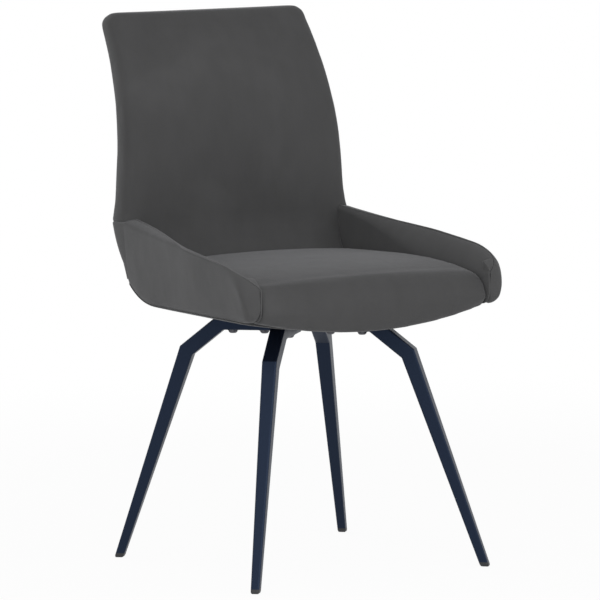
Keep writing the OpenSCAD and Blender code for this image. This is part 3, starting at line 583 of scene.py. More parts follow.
class Finish:
    """The nodes of a material, or of the world, under construction."""

    def __init__(self, name, kind="materials", out="ShaderNodeOutputMaterial"):
        self.owner = getattr(bpy.data, kind).new(name)
        self.owner.use_nodes = True
        self.tree = self.owner.node_tree
        self.tree.nodes.clear()
        self.out = self.node(out)

    @cached_property
    def place(self):
        """Where a point lies on its piece."""
        return self.wire("ShaderNodeTexCoord", output="Object")

    def node(self, kind, settings=None, inputs=None):
        """Adds a node: first its settings, then the values or wires of its sockets."""
        made = self.tree.nodes.new(kind)
        for key, value in (settings or {}).items():
            setattr(made, key, value)
        for key, value in (inputs or {}).items():
            if isinstance(value, Wire):
                self.tree.links.new(value.socket, made.inputs[key])
            else:
                made.inputs[key].default_value = value
        return made

    def wire(self, kind, settings=None, inputs=None, output=0):
        """Adds a node and gives one of its outputs."""
        return Wire(self, self.node(kind, settings, inputs).outputs[output])

    def noise(self, scale, detail=2.0, rough=0.5, stretch=(1, 1, 1), twist=0.0):
        """Noise from 0 to 1 over the piece, scale bumps to the metre, stretched along the axes."""
        place = self.wire("ShaderNodeMapping", inputs={"Vector": self.place, "Scale": stretch})
        inputs = {"Vector": place, "Scale": scale, "Detail": detail, "Roughness": rough, "Distortion": twist}
        return self.wire("ShaderNodeTexNoise", inputs=inputs)

    def axis(self, name, of=None):
        """One coordinate of a vector, the piece's own place unless another is given."""
        return self.wire("ShaderNodeSeparateXYZ", inputs={0: of or self.place}, output=name)

    def toned(self, colour, tone):
        """A colour made lighter or darker by a factor."""
        return self.wire("ShaderNodeVectorMath", {"operation": "SCALE"}, {0: colour[:3], "Scale": tone})

    def mixed(self, factor, a, b):
        """Colour a where factor is 0 and b where it is 1."""
        return self.wire("ShaderNodeMix", {"data_type": "RGBA"}, {0: factor, 6: a, 7: b}, output=2)

    def bump(self, height, distance, strength=1.0, over=None):
        """Relief of a height from 0 to 1, distance deep."""
        inputs = {"Height": height, "Distance": distance, "Strength": strength}
        if over is not None:
            inputs["Normal"] = over
        return self.wire("ShaderNodeBump", inputs=inputs)

    def seen(self):
        """1 for the rays of the camera, of reflections and of glass, 0 for those that light other things."""
        rays = self.node("ShaderNodeLightPath").outputs
        straight, mirrored, through = (
            Wire(self, rays[name]) for name in ("Is Camera Ray", "Is Glossy Ray", "Is Transmission Ray")
        )
        return (straight + mirrored + through).held()

    def shown(self, shader):
        """Ends the nodes with the wire of a shader, and gives the material or world."""
        self.tree.links.new(shader.socket, self.out.inputs["Surface"])
        return self.owner

    def surface(self, **inputs):
        """Ends the material with a Principled shader; a name's underscores stand for spaces."""
        return self.shown(
            self.wire("ShaderNodeBsdfPrincipled", inputs={k.replace("_", " "): v for k, v in inputs.items()})
        )


def rgba(colour, by=1.0):
    """A colour property as four numbers, made lighter or darker."""
    return (colour[0] * by, colour[1] * by, colour[2] * by, 1.0)


def velvet_finish(name, looks, tone=1.0):
    """Short-pile velvet: broad patches of turned pile, brushed streaks, fine grain and soft dents. Its
    colour is multiplied by tone, which paints light where it is above 1.
    """
    f = Finish(name)
    drift = f.noise(7.0, 2.0, 0.55, twist=0.6)
    brushed = f.noise(38.0, 3.0, 0.6, stretch=(1.0, 1.0, 0.35))
    grain = f.noise(looks.pile_scale, 2.0, 0.7)
    worn = drift.eased(0.52, 0.70)
    shade = 1.0 + (drift - 0.5) * 0.22 + (brushed - 0.5) * 0.14 + (grain - 0.5) * 0.24 + worn * 0.07
    dents = f.bump(f.noise(16.0, 2.0, 0.5), 0.004, 0.35)
    fibres = f.bump(grain, 0.0006, 0.55, over=dents)
    return f.surface(
        Base_Color=f.toned(rgba(looks.velvet, tone), shade),
        Roughness=(0.93 - brushed * 0.14).held(),
        Specular_IOR_Level=0.18,
        Sheen_Weight=looks.pile_sheen,
        Sheen_Roughness=0.38,
        Sheen_Tint=(0.80, 0.81, 0.84, 1.0),
        Normal=fibres,
    )


def coated_steel(name, looks):
    """Powder-coated steel: blue-black, with the coating's fine orange peel and faint dust in it."""
    f = Finish(name)
    peel = f.noise(520.0, 2.0, 0.5)
    cloud = f.noise(14.0, 3.0, 0.6)
    speck = f.noise(2600.0, 1.0, 0.5).eased(0.66, 0.74)
    coat = f.toned(rgba(looks.coat), 0.85 + cloud * 0.3)
    return f.surface(
        Base_Color=f.mixed(speck * 0.35, coat, rgba(looks.coat, 2.6)),
        Roughness=(looks.coat_roughness + (cloud - 0.5) * 0.16 + (peel - 0.5) * 0.08).held(),
        Specular_IOR_Level=0.36,
        Specular_Tint=(0.42, 0.60, 1.0, 1.0),
        Normal=f.bump(peel, 0.00025, 0.35),
    )


def pressed_steel(name, looks):
    """Stamped plate with a thin black coat, rubbed lighter in places."""
    f = Finish(name)
    rolled = f.noise(180.0, 3.0, 0.6, stretch=(0.15, 1.0, 1.0))
    rubbed = f.noise(30.0, 4.0, 0.65).eased(0.58, 0.75)
    return f.surface(
        Base_Color=f.mixed(rubbed * 0.5, rgba(looks.coat, 1.4), (0.06, 0.063, 0.07, 1.0)),
        Metallic=rubbed * 0.5,
        Roughness=(0.36 + rolled * 0.2).held(),
        Normal=f.bump(rolled, 0.0002, 0.3),
    )


def bare_metal(name, colour, roughness):
    """Plated steel with fine turning marks and a little dulling."""
    f = Finish(name)
    dull = f.noise(90.0, 3.0, 0.6)
    fine = f.noise(1600.0, 2.0, 0.6)
    return f.surface(
        Base_Color=f.toned(colour, 0.82 + dull * 0.36),
        Metallic=1.0,
        Roughness=(roughness + dull * 0.14 + (fine - 0.5) * 0.08).held(),
        Normal=f.bump(fine, 0.0001, 0.3),
    )


def moulded_plastic(name, colour, roughness):
    """Moulded plastic with a fine spark-eroded grain."""
    f = Finish(name)
    grain = f.noise(1500.0, 2.0, 0.55)
    cloud = f.noise(40.0, 2.0, 0.5)
    return f.surface(
        Base_Color=f.toned(colour, 0.88 + cloud * 0.24),
        Roughness=(roughness + (grain - 0.5) * 0.18).held(),
        Normal=f.bump(grain, 0.0002, 0.4),
    )


def plywood_finish(name, looks):
    """Plywood: long grain with rings on its faces, and light and dark plies on its edges."""
    f = Finish(name)
    rings = f.noise(9.0, 3.0, 0.55, stretch=(1.0, 0.16, 1.0), twist=1.6)
    grain = f.noise(420.0, 3.0, 0.6, stretch=(1.0, 0.05, 1.0))
    line = rings.wave(95.0) ** 2.0
    face = f.mixed((line * 0.55 + grain * 0.35).held(), rgba(looks.wood), rgba(looks.wood, 0.62))
    plies = f.axis("Z").wave(2 * math.pi / PLY_PAIR).eased(0.35, 0.65)
    ends = f.mixed(plies, rgba(looks.wood, 0.42), rgba(looks.wood, 0.95))
    tilt = f.axis("Z", f.wire("ShaderNodeTexCoord", output="Normal"))
    upright = 1.0 - tilt.maths("ABSOLUTE", tilt).eased(0.5, 0.7)
    return f.surface(
        Base_Color=f.mixed(upright, face, ends),
        Roughness=(0.62 + grain * 0.22).held(),
        Specular_IOR_Level=0.3,
        Normal=f.bump(grain * 0.6 + line * 0.4, 0.0004, 0.35),
    )


def liner_finish(name):
    """Black non-woven liner: pressed fibres with a grid of bonding dots."""
    f = Finish(name)
    fibre = f.noise(700.0, 4.0, 0.75, twist=1.0)
    dots = f.axis("X").wave(2 * math.pi / DOT_STEP) * f.axis("Y").wave(2 * math.pi / DOT_STEP)
    return f.surface(
        Base_Color=f.mixed(fibre.eased(0.35, 0.75), (0.006, 0.006, 0.007, 1.0), (0.034, 0.034, 0.037, 1.0)),
        Roughness=(0.86 + dots * 0.1).held(),
        Specular_IOR_Level=0.2,
        Normal=f.bump(fibre * 0.5 + dots * 0.5, 0.0003, 0.5),
    )


# Settings


def number_setting(name, description, default, low, high, **kind):
    """A property that holds a number; kind is its subtype and unit."""
    return bpy.props.FloatProperty(
        name=name, description=description, default=default, min=low, max=high, **kind
    )


def length_setting(name, description, default, low, high):
    """A length in metres."""
    return number_setting(name, description, default, low, high, subtype="DISTANCE", unit="LENGTH")


def share_setting(name, description, default):
    """A share from 0 to 1."""
    return number_setting(name, description, default, 0, 1, subtype="FACTOR")


def angle_setting(name, description, default):
    """An angle, its default in degrees."""
    return number_setting(name, description, math.radians(default), -math.pi, math.pi, subtype="ANGLE")


def power_setting(name, description, default):
    """A lamp's power in watts."""
    return number_setting(name, description, default, 0, 1000, subtype="POWER")


def colour_setting(name, description, default):
    """A colour."""
    return bpy.props.FloatVectorProperty(
        name=name, description=description, default=default, size=3, min=0, max=1, subtype="COLOR"
    )


class ChairPadding(bpy.types.PropertyGroup):
    """Sizes of the padding and its seams."""

    foam_square: length_setting("Foam square", "Side of the squares over the foam", 0.006, 0.003, 0.02)
    draw_in: length_setting("Draw in", "How far foam is cut short of its cover", 0.0003, 0, 0.02)
    swell: length_setting("Swell", "How far foam may push its cover out", 0.0010, 0, 0.03)
    welt: length_setting("Welt radius", "Radius of the raised seam along a wing", 0.0018, 0.0005, 0.006)
    panel_swell: length_setting("Panel swell", "How far a panel's middle stands proud", 0.0015, 0, 0.01)
    liner_sag: length_setting("Liner sag", "How far the dust cover sags", 0.0012, 0, 0.01)
    staple: length_setting("Staple width", "Width of a staple's crown", 0.010, 0.004, 0.02)
    staples: bpy.props.IntProperty(
        name="Staples", description="How many staples hold the dust cover", default=36, min=8, max=90
    )


class ChairLooks(bpy.types.PropertyGroup):
    """Colours and sheen."""

    velvet: colour_setting("Velvet", "Colour of the velvet", (0.070, 0.070, 0.071))
    pile_scale: number_setting("Pile scale", "Tufts of pile to the metre", 900, 50, 5000)
    pile_sheen: share_setting("Pile sheen", "How brightly the pile shines at a grazing angle", 0.27)
    coat: colour_setting("Coating", "Colour of the coated steel", (0.006, 0.009, 0.018))
    coat_roughness: share_setting("Coating roughness", "Roughness of the coated steel", 0.40)
    wood: colour_setting("Wood", "Colour of the plywood", (0.56, 0.39, 0.22))


class ChairStage(bpy.types.PropertyGroup):
    """Camera and studio light."""

    azimuth: angle_setting("Azimuth", "Camera's angle round the chair", -31.516)
    distance: length_setting("Distance", "Camera's distance from the swivel's axis", 7.355357, 1, 20)
    height: length_setting("Height", "Camera's height over the floor", 1.235949, 0, 5)
    pitch: angle_setting("Pitch", "How far the camera looks down", 6.312)
    yaw: angle_setting("Yaw", "How far the camera turns from the axis", -0.037)
    roll: angle_setting("Roll", "How far the camera tips sideways", -0.824)
    lens: number_setting("Lens", "Focal length on a 36 mm sensor", 278.15082, 20, 500)
    key: power_setting("Key light", "Power of the main soft light", 28.0)
    top: power_setting("Top light", "Power of the soft light overhead", 5.0)
    side: power_setting("Side light", "Power of the soft light from the left rear", 15.0)
    fill: power_setting("Fill light", "Power of the soft light from the other side", 11.5)
    room: share_setting("Room light", "Strength of the even light from all round", 0.45)
    floor: colour_setting("Floor", "Colour of the floor", (0.93, 0.93, 0.93))


FINISHES = {}


def finish(name):
    """A finish by its name, made once."""
    looks = bpy.context.scene.chair_looks
    makers = {
        "velvet": (velvet_finish, looks),
        # The panels' velvet is made 1.08 times lighter: a lit copy of the same velvet, painted light.
        "velvet_panel": (velvet_finish, looks, 1.08),
        # The rolls' velvet is made 1.22 times lighter: painted light that lifts the shade on the wings'
        # inner faces.
        "velvet_roll": (velvet_finish, looks, 1.22),
        # The seam's velvet is made 1.5 times lighter: a painted highlight along each wing's ridge.
        "velvet_seam": (velvet_finish, looks, 1.5),
        "leg_steel": (coated_steel, looks),
        "plate_steel": (pressed_steel, looks),
        "dark_fastener": (bare_metal, (0.09, 0.09, 0.10), 0.34),
        "bright_steel": (bare_metal, (0.62, 0.62, 0.63), 0.16),
        "zinc": (bare_metal, (0.55, 0.52, 0.42), 0.30),
        "black_plastic": (moulded_plastic, (0.013, 0.014, 0.017), 0.48),
        "nylon": (moulded_plastic, (0.66, 0.64, 0.58), 0.42),
        "plywood": (plywood_finish, looks),
        "liner": (liner_finish,),
    }
    if name not in FINISHES:
        make, *values = makers[name]
        FINISHES[name] = make(name, *values)
    return FINISHES[name]


# Pieces


def cushion_profile(s):
    """Side view of the seat cushion at the fractions s of its half width, from its rear foot round the
    front: straight feet, a small round, a hollow front face, a large round, a low sine crown that dips at
    the front and a round down to the rear."""
    s = np.asarray(s)[:, None]
    f, rim, k = front_y(s), cushion_top(s) - SEAT_CROWN, keel_z(s) + SKIRT_LIFT
    r = np.minimum(FRONT_ROUND, rim - FRONT_DIP - k - FOOT_ROUND - FACE_MIN)
    low = rim - FRONT_DIP - r
    rear = CUSHION_REAR - REAR_ROUND
    clear = BEND_Z - math.sqrt((BEND_R - BACK_BOARD_T) ** 2 - (CUSHION_REAR - BEND_Y) ** 2) + CURVE_GAP
    foot = outline(
        s,
        (CUSHION_REAR, clear),
        (FOOT_FRONT - GAP, clear),
        (FOOT_FRONT - GAP, BOARD_TOP + GAP),
        (-BOARD_FRONT - GAP, BOARD_TOP + GAP),
        (-BOARD_FRONT - GAP, k),
    )
    a = degrees(0, 90, 10)
    u = np.linspace(0.02, 0.98, 14)
    v = np.linspace(0.02, 0.98, 60)
    crown = SEAT_CROWN * np.sin(np.pi * v**0.8)
    parts = [
        spread(foot, 41),
        rows(f + FACE_HOLLOW + FOOT_ROUND * (1 - np.sin(a)), k + FOOT_ROUND * (1 - np.cos(a))),
        rows(f + FACE_HOLLOW * (1 - u) ** 1.6, lerp(k + FOOT_ROUND, low, u)),
        rows(f + r * (1 - np.cos(a)), low + r * np.sin(a)),
        rows(lerp(f + r, rear, v), rim - FRONT_DIP * (1 - v) ** 5 + crown),
        rows(rear + REAR_ROUND * np.sin(a) + 0 * rim, rim - REAR_ROUND * (1 - np.cos(a))),
    ]
    return np.concatenate(parts, 1)


def seat_grid():
    """The seat cushion: its side view carried across the seat, wider to the front as the wings toe out."""
    s = np.sin(degrees(-90, 90, 81))
    p = cushion_profile(s)
    return rows(s[:, None] * cushion_half(p[..., 0]), p[..., 0], p[..., 1])


def back_half_ring(z, inset):
    """Right half of the backrest's outline at the heights z, from the front round to the pocket."""
    z = np.asarray(z, float)[:, None]
    inset = np.asarray(inset, float)[:, None] + 0 * z
    inside = z <= TUB_LIP
    w = back_half(z) - inset
    f = back_front(z) + inset
    cx_in, cy_in = wrap_centre(z)
    rear = np.where(inside, tub_rear_at(z) - WRAP_T - CURVE_GAP, back_rear(z)) - inset
    cx = np.where(inside, cx_in, w - REAR_R)
    cy = np.where(inside, cy_in, rear - REAR_R)
    e = w - EDGE_IN
    front = np.minimum(f + 2, WING_REAR - 2)
    tucked = outline(
        z,
        (cushion_half(front), front),
        (cushion_half(WING_REAR), WING_REAR + GAP),
        (w - 1, WING_REAR + GAP),
        (w, WING_REAR + 1.5),
    )
    a = degrees(12, 89, 13)
    free = rows(w - FRONT_R + FRONT_R * np.sin(a), f + FRONT_R - FRONT_R * np.cos(a))
    turn = np.arccos(np.clip((e - cx) / (w - cx), -1, 1)) * np.linspace(0, 1, 12)
    corner = rows(cx + (w - cx) * np.cos(turn), cy + (rear - cy) * np.sin(turn))
    pocket = np.where(z > POCKET_TOP + 1, rear, board_front_at(z) - CURVE_GAP)
    lip = spread(np.stack([corner[:, -1], np.concatenate([e, pocket], 1)], 1), 6)[:, 1:]
    return np.concatenate([np.where(inside[..., None], spread(tucked, 13), free), corner, lip], 1)


def back_grid():
    """The back cushion: level outlines from the seat to the top. The front swells on a parabola."""
    inside = np.linspace(BOARD_TOP + BACK_FOOT, TUB_LIP, 40)
    above = np.concatenate([np.linspace(TUB_LIP + 0.8, POCKET_TOP + 0.5, 90), [POCKET_TOP + 3]])
    turn = degrees(0, 84, 16)
    z = np.concatenate([inside, above, TOP_Z - TOP_ROUND * (1 - np.sin(turn))])
    inset = np.concatenate([0 * inside, 0 * above, TOP_ROUND * (1 - np.cos(turn))])
    half = back_half_ring(z, inset)
    zc = z[:, None]
    f = back_front(zc) + inset[:, None]
    side = np.where(zc <= TUB_LIP, cushion_half(f), back_half(zc) - inset[:, None] - FRONT_R)
    crown = BACK_CROWN * unit((zc - BOARD_TOP - BACK_CROWN_FROM) / BACK_CROWN_RUN)
    s = np.linspace(-1, 1, 61)
    front = rows(s * side, f - crown * (1 - s**2), zc)
    right = rows(half[..., 0], half[..., 1], zc)
    return np.concatenate([front, right, (right * [-1, 1, 1])[:, ::-1]], 1)


def stations():
    """Stations along a wing from the tip of its nose to its rear end, closer where the nose turns."""
    root = NOSE_R - NOSE_FRONT
    nose = root - NOSE_R * np.sin(degrees(90, 3, 30))
    return np.concatenate([nose, np.linspace(root, WING_REAR + GAP, 110)])


def beside(y, nose, body):
    """Corner points of a section: those of the nose ahead of the wing board, else those beside it."""
    return np.where((y < -PANEL_FRONT)[..., None], nose, body)


def wing_place(section, y):
    """Sections x, z at the stations y, set on the wing board."""
    return rows(board_out_x(y) + section[..., 0], y, section[..., 1])


def seam_dip(n):
    """How far a cover dips in at the first of n points from its seam, and ever less at the next."""
    return SEAM_DIP * np.exp(-np.arange(n) / 1.2)


def roll_grid():
    """A wing's roll: from the ridge over the inner face, down to the seat board, round the wing board."""
    y = stations()[:, None]
    low, c = wing_low(y), crest(y)
    inner = -WING_BOARD_T - WING_IN_T
    base = np.where(y < -BOARD_FRONT - GAP, low, np.maximum(BOARD_TOP + GAP, low))
    cap = c - BOARD_DROP + GAP
    top = inner_at(y, np.sin(degrees(1, 90, 30)))
    top[..., 1] -= seam_dip(30)
    start, end = (inner, top[:, -1:, 1]), (ridge_x(y) - GAP, c - SEAM_DIP)
    foot, deep, core = low + 1, inner + 2, -WING_BOARD_T - GAP
    ahead = outline(y, start, (inner, foot), (deep, foot), (deep, (foot + c) / 2), (deep, c - 4), end)
    over = outline(y, start, (inner, base), (core, base), (core, cap), (-GAP, cap), end)
    return wing_place(np.concatenate([top, spread(beside(y, ahead, over), 51)[:, 1:-1]], 1), y)


def panel_grid(swell):
    """A wing's outer panel: up from its foot over the board, swollen by a sine between its edges, and in
    over its shoulder to the ridge. It runs round the nose, whose flat front is closed by rings drawn
    together."""
    y = stations()[:, None]
    low, c, shoulder = wing_low(y), crest(y), shoulder_z(y)
    f = np.linspace(0, 1, 34)
    ends = np.sin(np.pi * unit((y + PANEL_FRONT) / (WING_REAR + PANEL_FRONT))) ** 0.5
    proud = swell * np.sin(np.pi * unit(f * 0.9 + 0.02)) ** 0.7 * ends
    foot = PANEL_TUCK * np.exp(-f * PANEL_TUCK_FADE)
    side = rows(panel_t(f, y) + proud - foot, lerp(low + PANEL_LIFT, shoulder, f))
    turn = shoulder_at(y, np.linspace(0, 1, 22)[1:])
    turn[..., 1] -= seam_dip(21)[::-1]
    start = ridge_x(y), c - SEAM_DIP
    ahead = outline(y, start, (NOSE_RIDGE_X, (c + low) / 2), (NOSE_RIDGE_X, low), (2, low))
    over = outline(y, start, (GAP, c - BOARD_DROP + GAP), (GAP, low), (3, low))
    inside = spread(beside(y, ahead, over), 31)[:, 1:]
    body = wing_place(np.concatenate([side, turn, inside], 1), y)
    tip = body[0]
    drawn = np.array([0.05, 0.3, 0.6, 0.85, 0.97])[:, None, None]
    middle = tip.mean(0)
    front = middle + (tip - middle) * drawn - np.array([0, NOSE_BULGE, 0]) * np.sqrt(1 - drawn**2)
    return np.concatenate([front, body])


def wrap_grid():
    """The tub's padded rear: an outer and an inner skin that turn round both rear corners."""
    edge = WRAP_TOP - WRAP_ROUND
    rim = edge + WRAP_ROUND * np.sin(degrees(8, 90, 12))
    z = np.concatenate([np.linspace(BOARD_BOTTOM + WRAP_FOOT, edge, 50), rim])[:, None]
    cx, cy = wrap_centre(z)
    a = degrees(0, 90, 16)

    def skin_at(x, y):
        """One skin from the wing's rear end round the corner: a quarter ellipse from x out to y aft."""
        start = outline(z, (x, WING_REAR + GAP))
        return np.concatenate([start, rows(cx + (x - cx) * np.cos(a), cy + (y - cy) * np.sin(a))], 1)

    outer = skin_at(wrap_half(z), tub_rear_at(z) - quarter(WRAP_ROUND_IN, (z - edge) / WRAP_ROUND))
    inner = skin_at(BACK_TUCKED + CURVE_GAP, tub_rear_at(z) - WRAP_T)
    span = spread(np.stack([outer[:, -1], outer[:, -1] * [-1, 1]], 1), 41)[:, 1:-1]
    ring = np.concatenate([outer, span, (outer * [-1, 1])[:, ::-1], inner * [-1, 1], inner[:, ::-1]], 1)
    return rows(ring[..., 0], ring[..., 1], z)


def underside_grid():
    """The boat-shaped underside: rings round the swivel between the recess and the outline. The outline's
    distance is read off by angle; the lower skin is the keel's parabola, the upper one follows the seat
    board and the heel."""
    heel = lerp(WING_REAR, TUB_FOOT, np.sin(degrees(0, 90, 40)))
    side = np.concatenate([np.linspace(-BOARD_FRONT, WING_REAR, 90), heel])
    y = np.concatenate([np.full(60, -BOARD_FRONT), side, np.full(60, TUB_FOOT)])
    ends = np.linspace(0, keel_half(-BOARD_FRONT), 60), np.linspace(keel_half(TUB_FOOT), 0, 60)
    x = np.concatenate([ends[0], keel_half(side), ends[1]])
    theta = np.linspace(-np.pi / 2, np.pi / 2, 181)
    reach = np.interp(theta, np.arctan2(y, x), np.hypot(x, y))
    theta = np.concatenate([theta, np.pi - theta[1:-1]])[:, None]
    reach = np.concatenate([reach, reach[1:-1]])[:, None]

    def skin_at(u):
        """Points at the fractions u of the way out, and the height of the keel there."""
        r = lerp(RECESS_R, reach, u)
        px, py = r * np.cos(theta), r * np.sin(theta)
        return px, py, keel_at(np.clip(px / keel_half(py), -1, 1), py)

    edges = np.sin(degrees(0, 60, 4)) * 0.02, 1 - 0.02 * np.sin(degrees(60, 0, 3))
    u = np.concatenate([edges[0], np.linspace(0.05, 0.97, 26), edges[1]])
    px, py, keel = skin_at(u)
    tuck = KEEL_TUCK * (np.exp(-u * KEEL_TUCK_FADE) + np.exp(-(1 - u) * KEEL_TUCK_FADE))
    lower = rows(px, py, keel + tuck)
    px, py, keel = skin_at(u[::-4])
    over = np.where(py > HEEL_Y - 2, wing_low(py) - 2 * GAP, BOARD_BOTTOM - GAP)
    over = np.where(py > WING_REAR + GAP, BOARD_BOTTOM + WRAP_FOOT - GAP, over)
    return np.concatenate([lower, rows(px, py, np.maximum(over, keel + 1.0))], 1)


def back_panel_grid(swell):
    """The panel behind the backrest: a pad between two faces, swollen in the middle, thin at its edges."""
    v = np.sin(degrees(-90, 90, 70))
    z = lerp(WRAP_TOP + GAP, POCKET_TOP + 4, (v + 1) / 2)[:, None]
    half = back_free(z) - EDGE_IN + 3
    s = np.sin(degrees(-90, 90, 61))
    edge = (1 - np.abs(s) ** 24) * (1 - np.abs(v[:, None]) ** 24)
    outer = rows(s * half, back_rear(z) + swell - (REAR_PANEL_EDGE + swell) * (1 - edge**0.5), z)
    inner = rows(s * half, back_rear(z) - REAR_PANEL_T, z)
    return np.concatenate([outer, inner[:, ::-1]], 1)


class CHAIR_OT_seat(bpy.types.Operator):
    """Makes the seat cushion"""

    bl_idname = "chair.seat"
    bl_label = "Seat cushion"

    def execute(self, context):
        p = context.scene.chair_padding
        piece = foamed(skin("seat_pad", at_chair(seat_grid())), p.foam_square)
        smoother(blown(piece, p.draw_in, p.swell))
        dress(piece, ["seat_cushion"], "velvet")
        return {"FINISHED"}


class CHAIR_OT_back(bpy.types.Operator):
    """Makes the back cushion and the panel behind it"""

    bl_idname = "chair.back"
    bl_label = "Backrest"

    def execute(self, context):
        p = context.scene.chair_padding
        piece = foamed(skin("back_pad", at_chair(back_grid())), p.foam_square)
        smoother(blown(piece, p.draw_in, p.swell))
        dress(piece, ["back_cushion"], "velvet")
        panel = skin("back_rear_pad", at_chair(back_panel_grid(1000 * p.panel_swell)))
        # The rear panel's velvet is a lighter copy, painted light.
        dress(panel, ["back_panel"], "velvet_panel")
        return {"FINISHED"}


class CHAIR_OT_wings(bpy.types.Operator):
    """Makes both wings' rolls, outer panels and raised seams"""

    bl_idname = "chair.wings"
    bl_label = "Wings"

    # How often the roll and the panel are eased at the nose, from where, over what length and height
    ROLL_EASE, PANEL_EASE = 6, 45
    EASE_FROM, EASE_RUN, EASE_H = -95, 45, 10
    # How far the seam lies in from the ridge and below it, and how it falls and thins over the nose
    SEAM_IN, SEAM_DOWN, SEAM_NOSE_DOWN, SEAM_TURN = 0.15, 0.8, 3, 50
    SEAM_END, SEAM_RUN, SEAM_LEFT = -225, 110, 0.15

    def execute(self, context):
        p = context.scene.chair_padding
        for side, name in ((1, "left"), (-1, "right")):
            roll = skin(f"roll_pad_{name}", at_chair(mirrored(roll_grid(), side)))
            self.rounded(roll, self.ROLL_EASE)
            # The roll's velvet is a lighter copy: painted light against the shade on its inner face.
            dress(roll, [f"wing_roll_{name}"], "velvet_roll")
            panel = skin(f"panel_pad_{name}", at_chair(mirrored(panel_grid(1000 * p.panel_swell), side)))
            self.rounded(panel, self.PANEL_EASE)
            # The outer panel's velvet is a lighter copy, painted light.
            dress(panel, [f"wing_panel_{name}"], "velvet_panel")
            ridge = at_chair(mirrored(self.ridge_path(), side))
            welt = cord_along(f"wing_seam_{name}", ridge, self.welt_radius(p.welt))
            # The welt's velvet is a lighter copy: a painted highlight on the ridge.
            dress(welt, [], "velvet_seam")
        return {"FINISHED"}

    def rounded(self, piece, times):
        """Eases each point of a wing's nose to its neighbours' mean, the more so the farther it lies forward
        and below the ridge."""
        co = corners(piece.data)
        y, z = 1000 * co[:, 1] - AXIS_Y, 1000 * co[:, 2]
        part = 0.5 * unit((self.EASE_FROM - y) / self.EASE_RUN) * unit((crest(y) - z) / self.EASE_H)
        put_corners(piece.data, relaxed(piece.data, co, times, part[:, None], 0))

    def ridge_path(self):
        """Along the ridge from the rear to the tip of the nose, just under its edge."""
        y = stations()[::-1]
        down = self.SEAM_DOWN + self.SEAM_NOSE_DOWN * nose_at(y, self.SEAM_TURN)
        return rows(board_out_x(y) + ridge_x(y) - self.SEAM_IN, y, crest(y) - down)

    def welt_radius(self, radius):
        """The welt's radius: full along the wing, and drawn down over the nose."""
        y = stations()[::-1]
        return radius * lerp(self.SEAM_LEFT, 1, unit((y - self.SEAM_END) / self.SEAM_RUN))


class CHAIR_OT_tub(bpy.types.Operator):
    """Makes the tub's rear panel and the boat-shaped underside"""

    bl_idname = "chair.tub"
    bl_label = "Tub"

    def execute(self, context):
        wrap = skin("tub_rear_pad", at_chair(wrap_grid()))
        # The tub's rear takes the panels' lighter velvet, painted light.
        dress(wrap, ["rear_wrap"], "velvet_panel")
        under = skin("underside_cover", at_chair(underside_grid()), ring=True)
        dress(under, ["underside_pad"], "velvet")
        return {"FINISHED"}


class CHAIR_OT_liner(bpy.types.Operator):
    """Makes the dust cover under the seat and the staples that hold it"""

    bl_idname = "chair.liner"
    bl_label = "Dust cover"

    # Air over the cloth, waves round its edge, and the share of the sag that they take
    AIR, WAVES, WAVE_SHARE = 0.15, 18, 0.5
    # Half the staples' wire and its flatness, their place in from the recess's rim and down from the board
    WIRE_R, WIRE_FLAT, STAPLE_IN, STAPLE_DOWN = 0.35, 1.6, 7, 0.7
    # Height of a staple's ends and of its bends over its crown, and how far the bends reach in
    LEG_H, BEND_H, BEND_IN = 1.2, 0.3, 0.4

    def execute(self, context):
        p = context.scene.chair_padding
        liner = skin("dust_liner", at_chair(self.liner_grid(1000 * p.liner_sag)), ring=True)
        dress(liner, ["dust_cover"], "liner")
        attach(repeated("liner_staples", self.staple(1000 * p.staple), p.staples), "seat")
        return {"FINISHED"}

    def liner_grid(self, sag):
        """A disc with a square hole: rings between the square and the circle, read off by angle. It sags on
        a sine from edge to edge, and waves run round it."""
        theta = np.linspace(0, 2 * np.pi, 160, endpoint=False)[:, None]
        hole = LINER_HOLE / 2 / np.maximum(np.abs(np.cos(theta)), np.abs(np.sin(theta)))
        u = np.linspace(0, 1, 18)
        r = lerp(hole, LINER_R, u)
        waves = self.WAVE_SHARE * np.sin(theta * self.WAVES + 2 * np.sin(theta * 5))
        z = BOARD_BOTTOM - self.AIR - sag * np.sin(np.pi * u) ** 0.7 * (1 + waves)
        upper = rows(r * np.cos(theta), r * np.sin(theta), z)
        return np.concatenate([upper - [0, 0, LINER_T], upper[:, ::-1]], 1)

    def staple(self, width):
        """One staple at angle zero: a four-sided wire along a bracket whose ends go up into the board."""
        h, r, z = width / 2, self.WIRE_R, BOARD_BOTTOM - self.STAPLE_DOWN
        path = self.both_ways([[0, -h, z + self.LEG_H], [0, -h, z + self.BEND_H], [0, -h + self.BEND_IN, z]])
        slant = self.both_ways([[0, -r, 0], [0, -r, -r / 2], [0, -r / 2, -r]])
        broad = slant * 0 + [r * self.WIRE_FLAT, 0, 0]
        ring = np.stack([broad, slant, -broad, -slant], 1)
        return path[:, None] + ring + [RECESS_R - self.STAPLE_IN, 0, 0]

    def both_ways(self, half):
        """Points followed by their mirror images in the other order."""
        half = np.array(half)
        return np.concatenate([half, half[::-1] * [1, -1, 1]])


def repeated(name, grid, count):
    """A small grid's shell, turned round the swivel's axis count times, in one mesh."""
    small = skin(name, grid)
    one = corners(small.data)
    loops = [np.array(face.vertices) for face in small.data.polygons]
    turn = np.arange(count)[:, None] * 2 * np.pi / count
    x = one[:, 0] * np.cos(turn) - one[:, 1] * np.sin(turn)
    y = one[:, 0] * np.sin(turn) + one[:, 1] * np.cos(turn)
    points = at_chair(np.stack([x, y, np.broadcast_to(one[:, 2], x.shape)], -1).reshape(-1, 3))
    mesh = bpy.data.meshes.new(name)
    mesh.from_pydata(points, [], [(loop + k * len(one)).tolist() for k in range(count) for loop in loops])
    small.data = mesh
    mesh.materials.append(finish("bright_steel"))
    return small


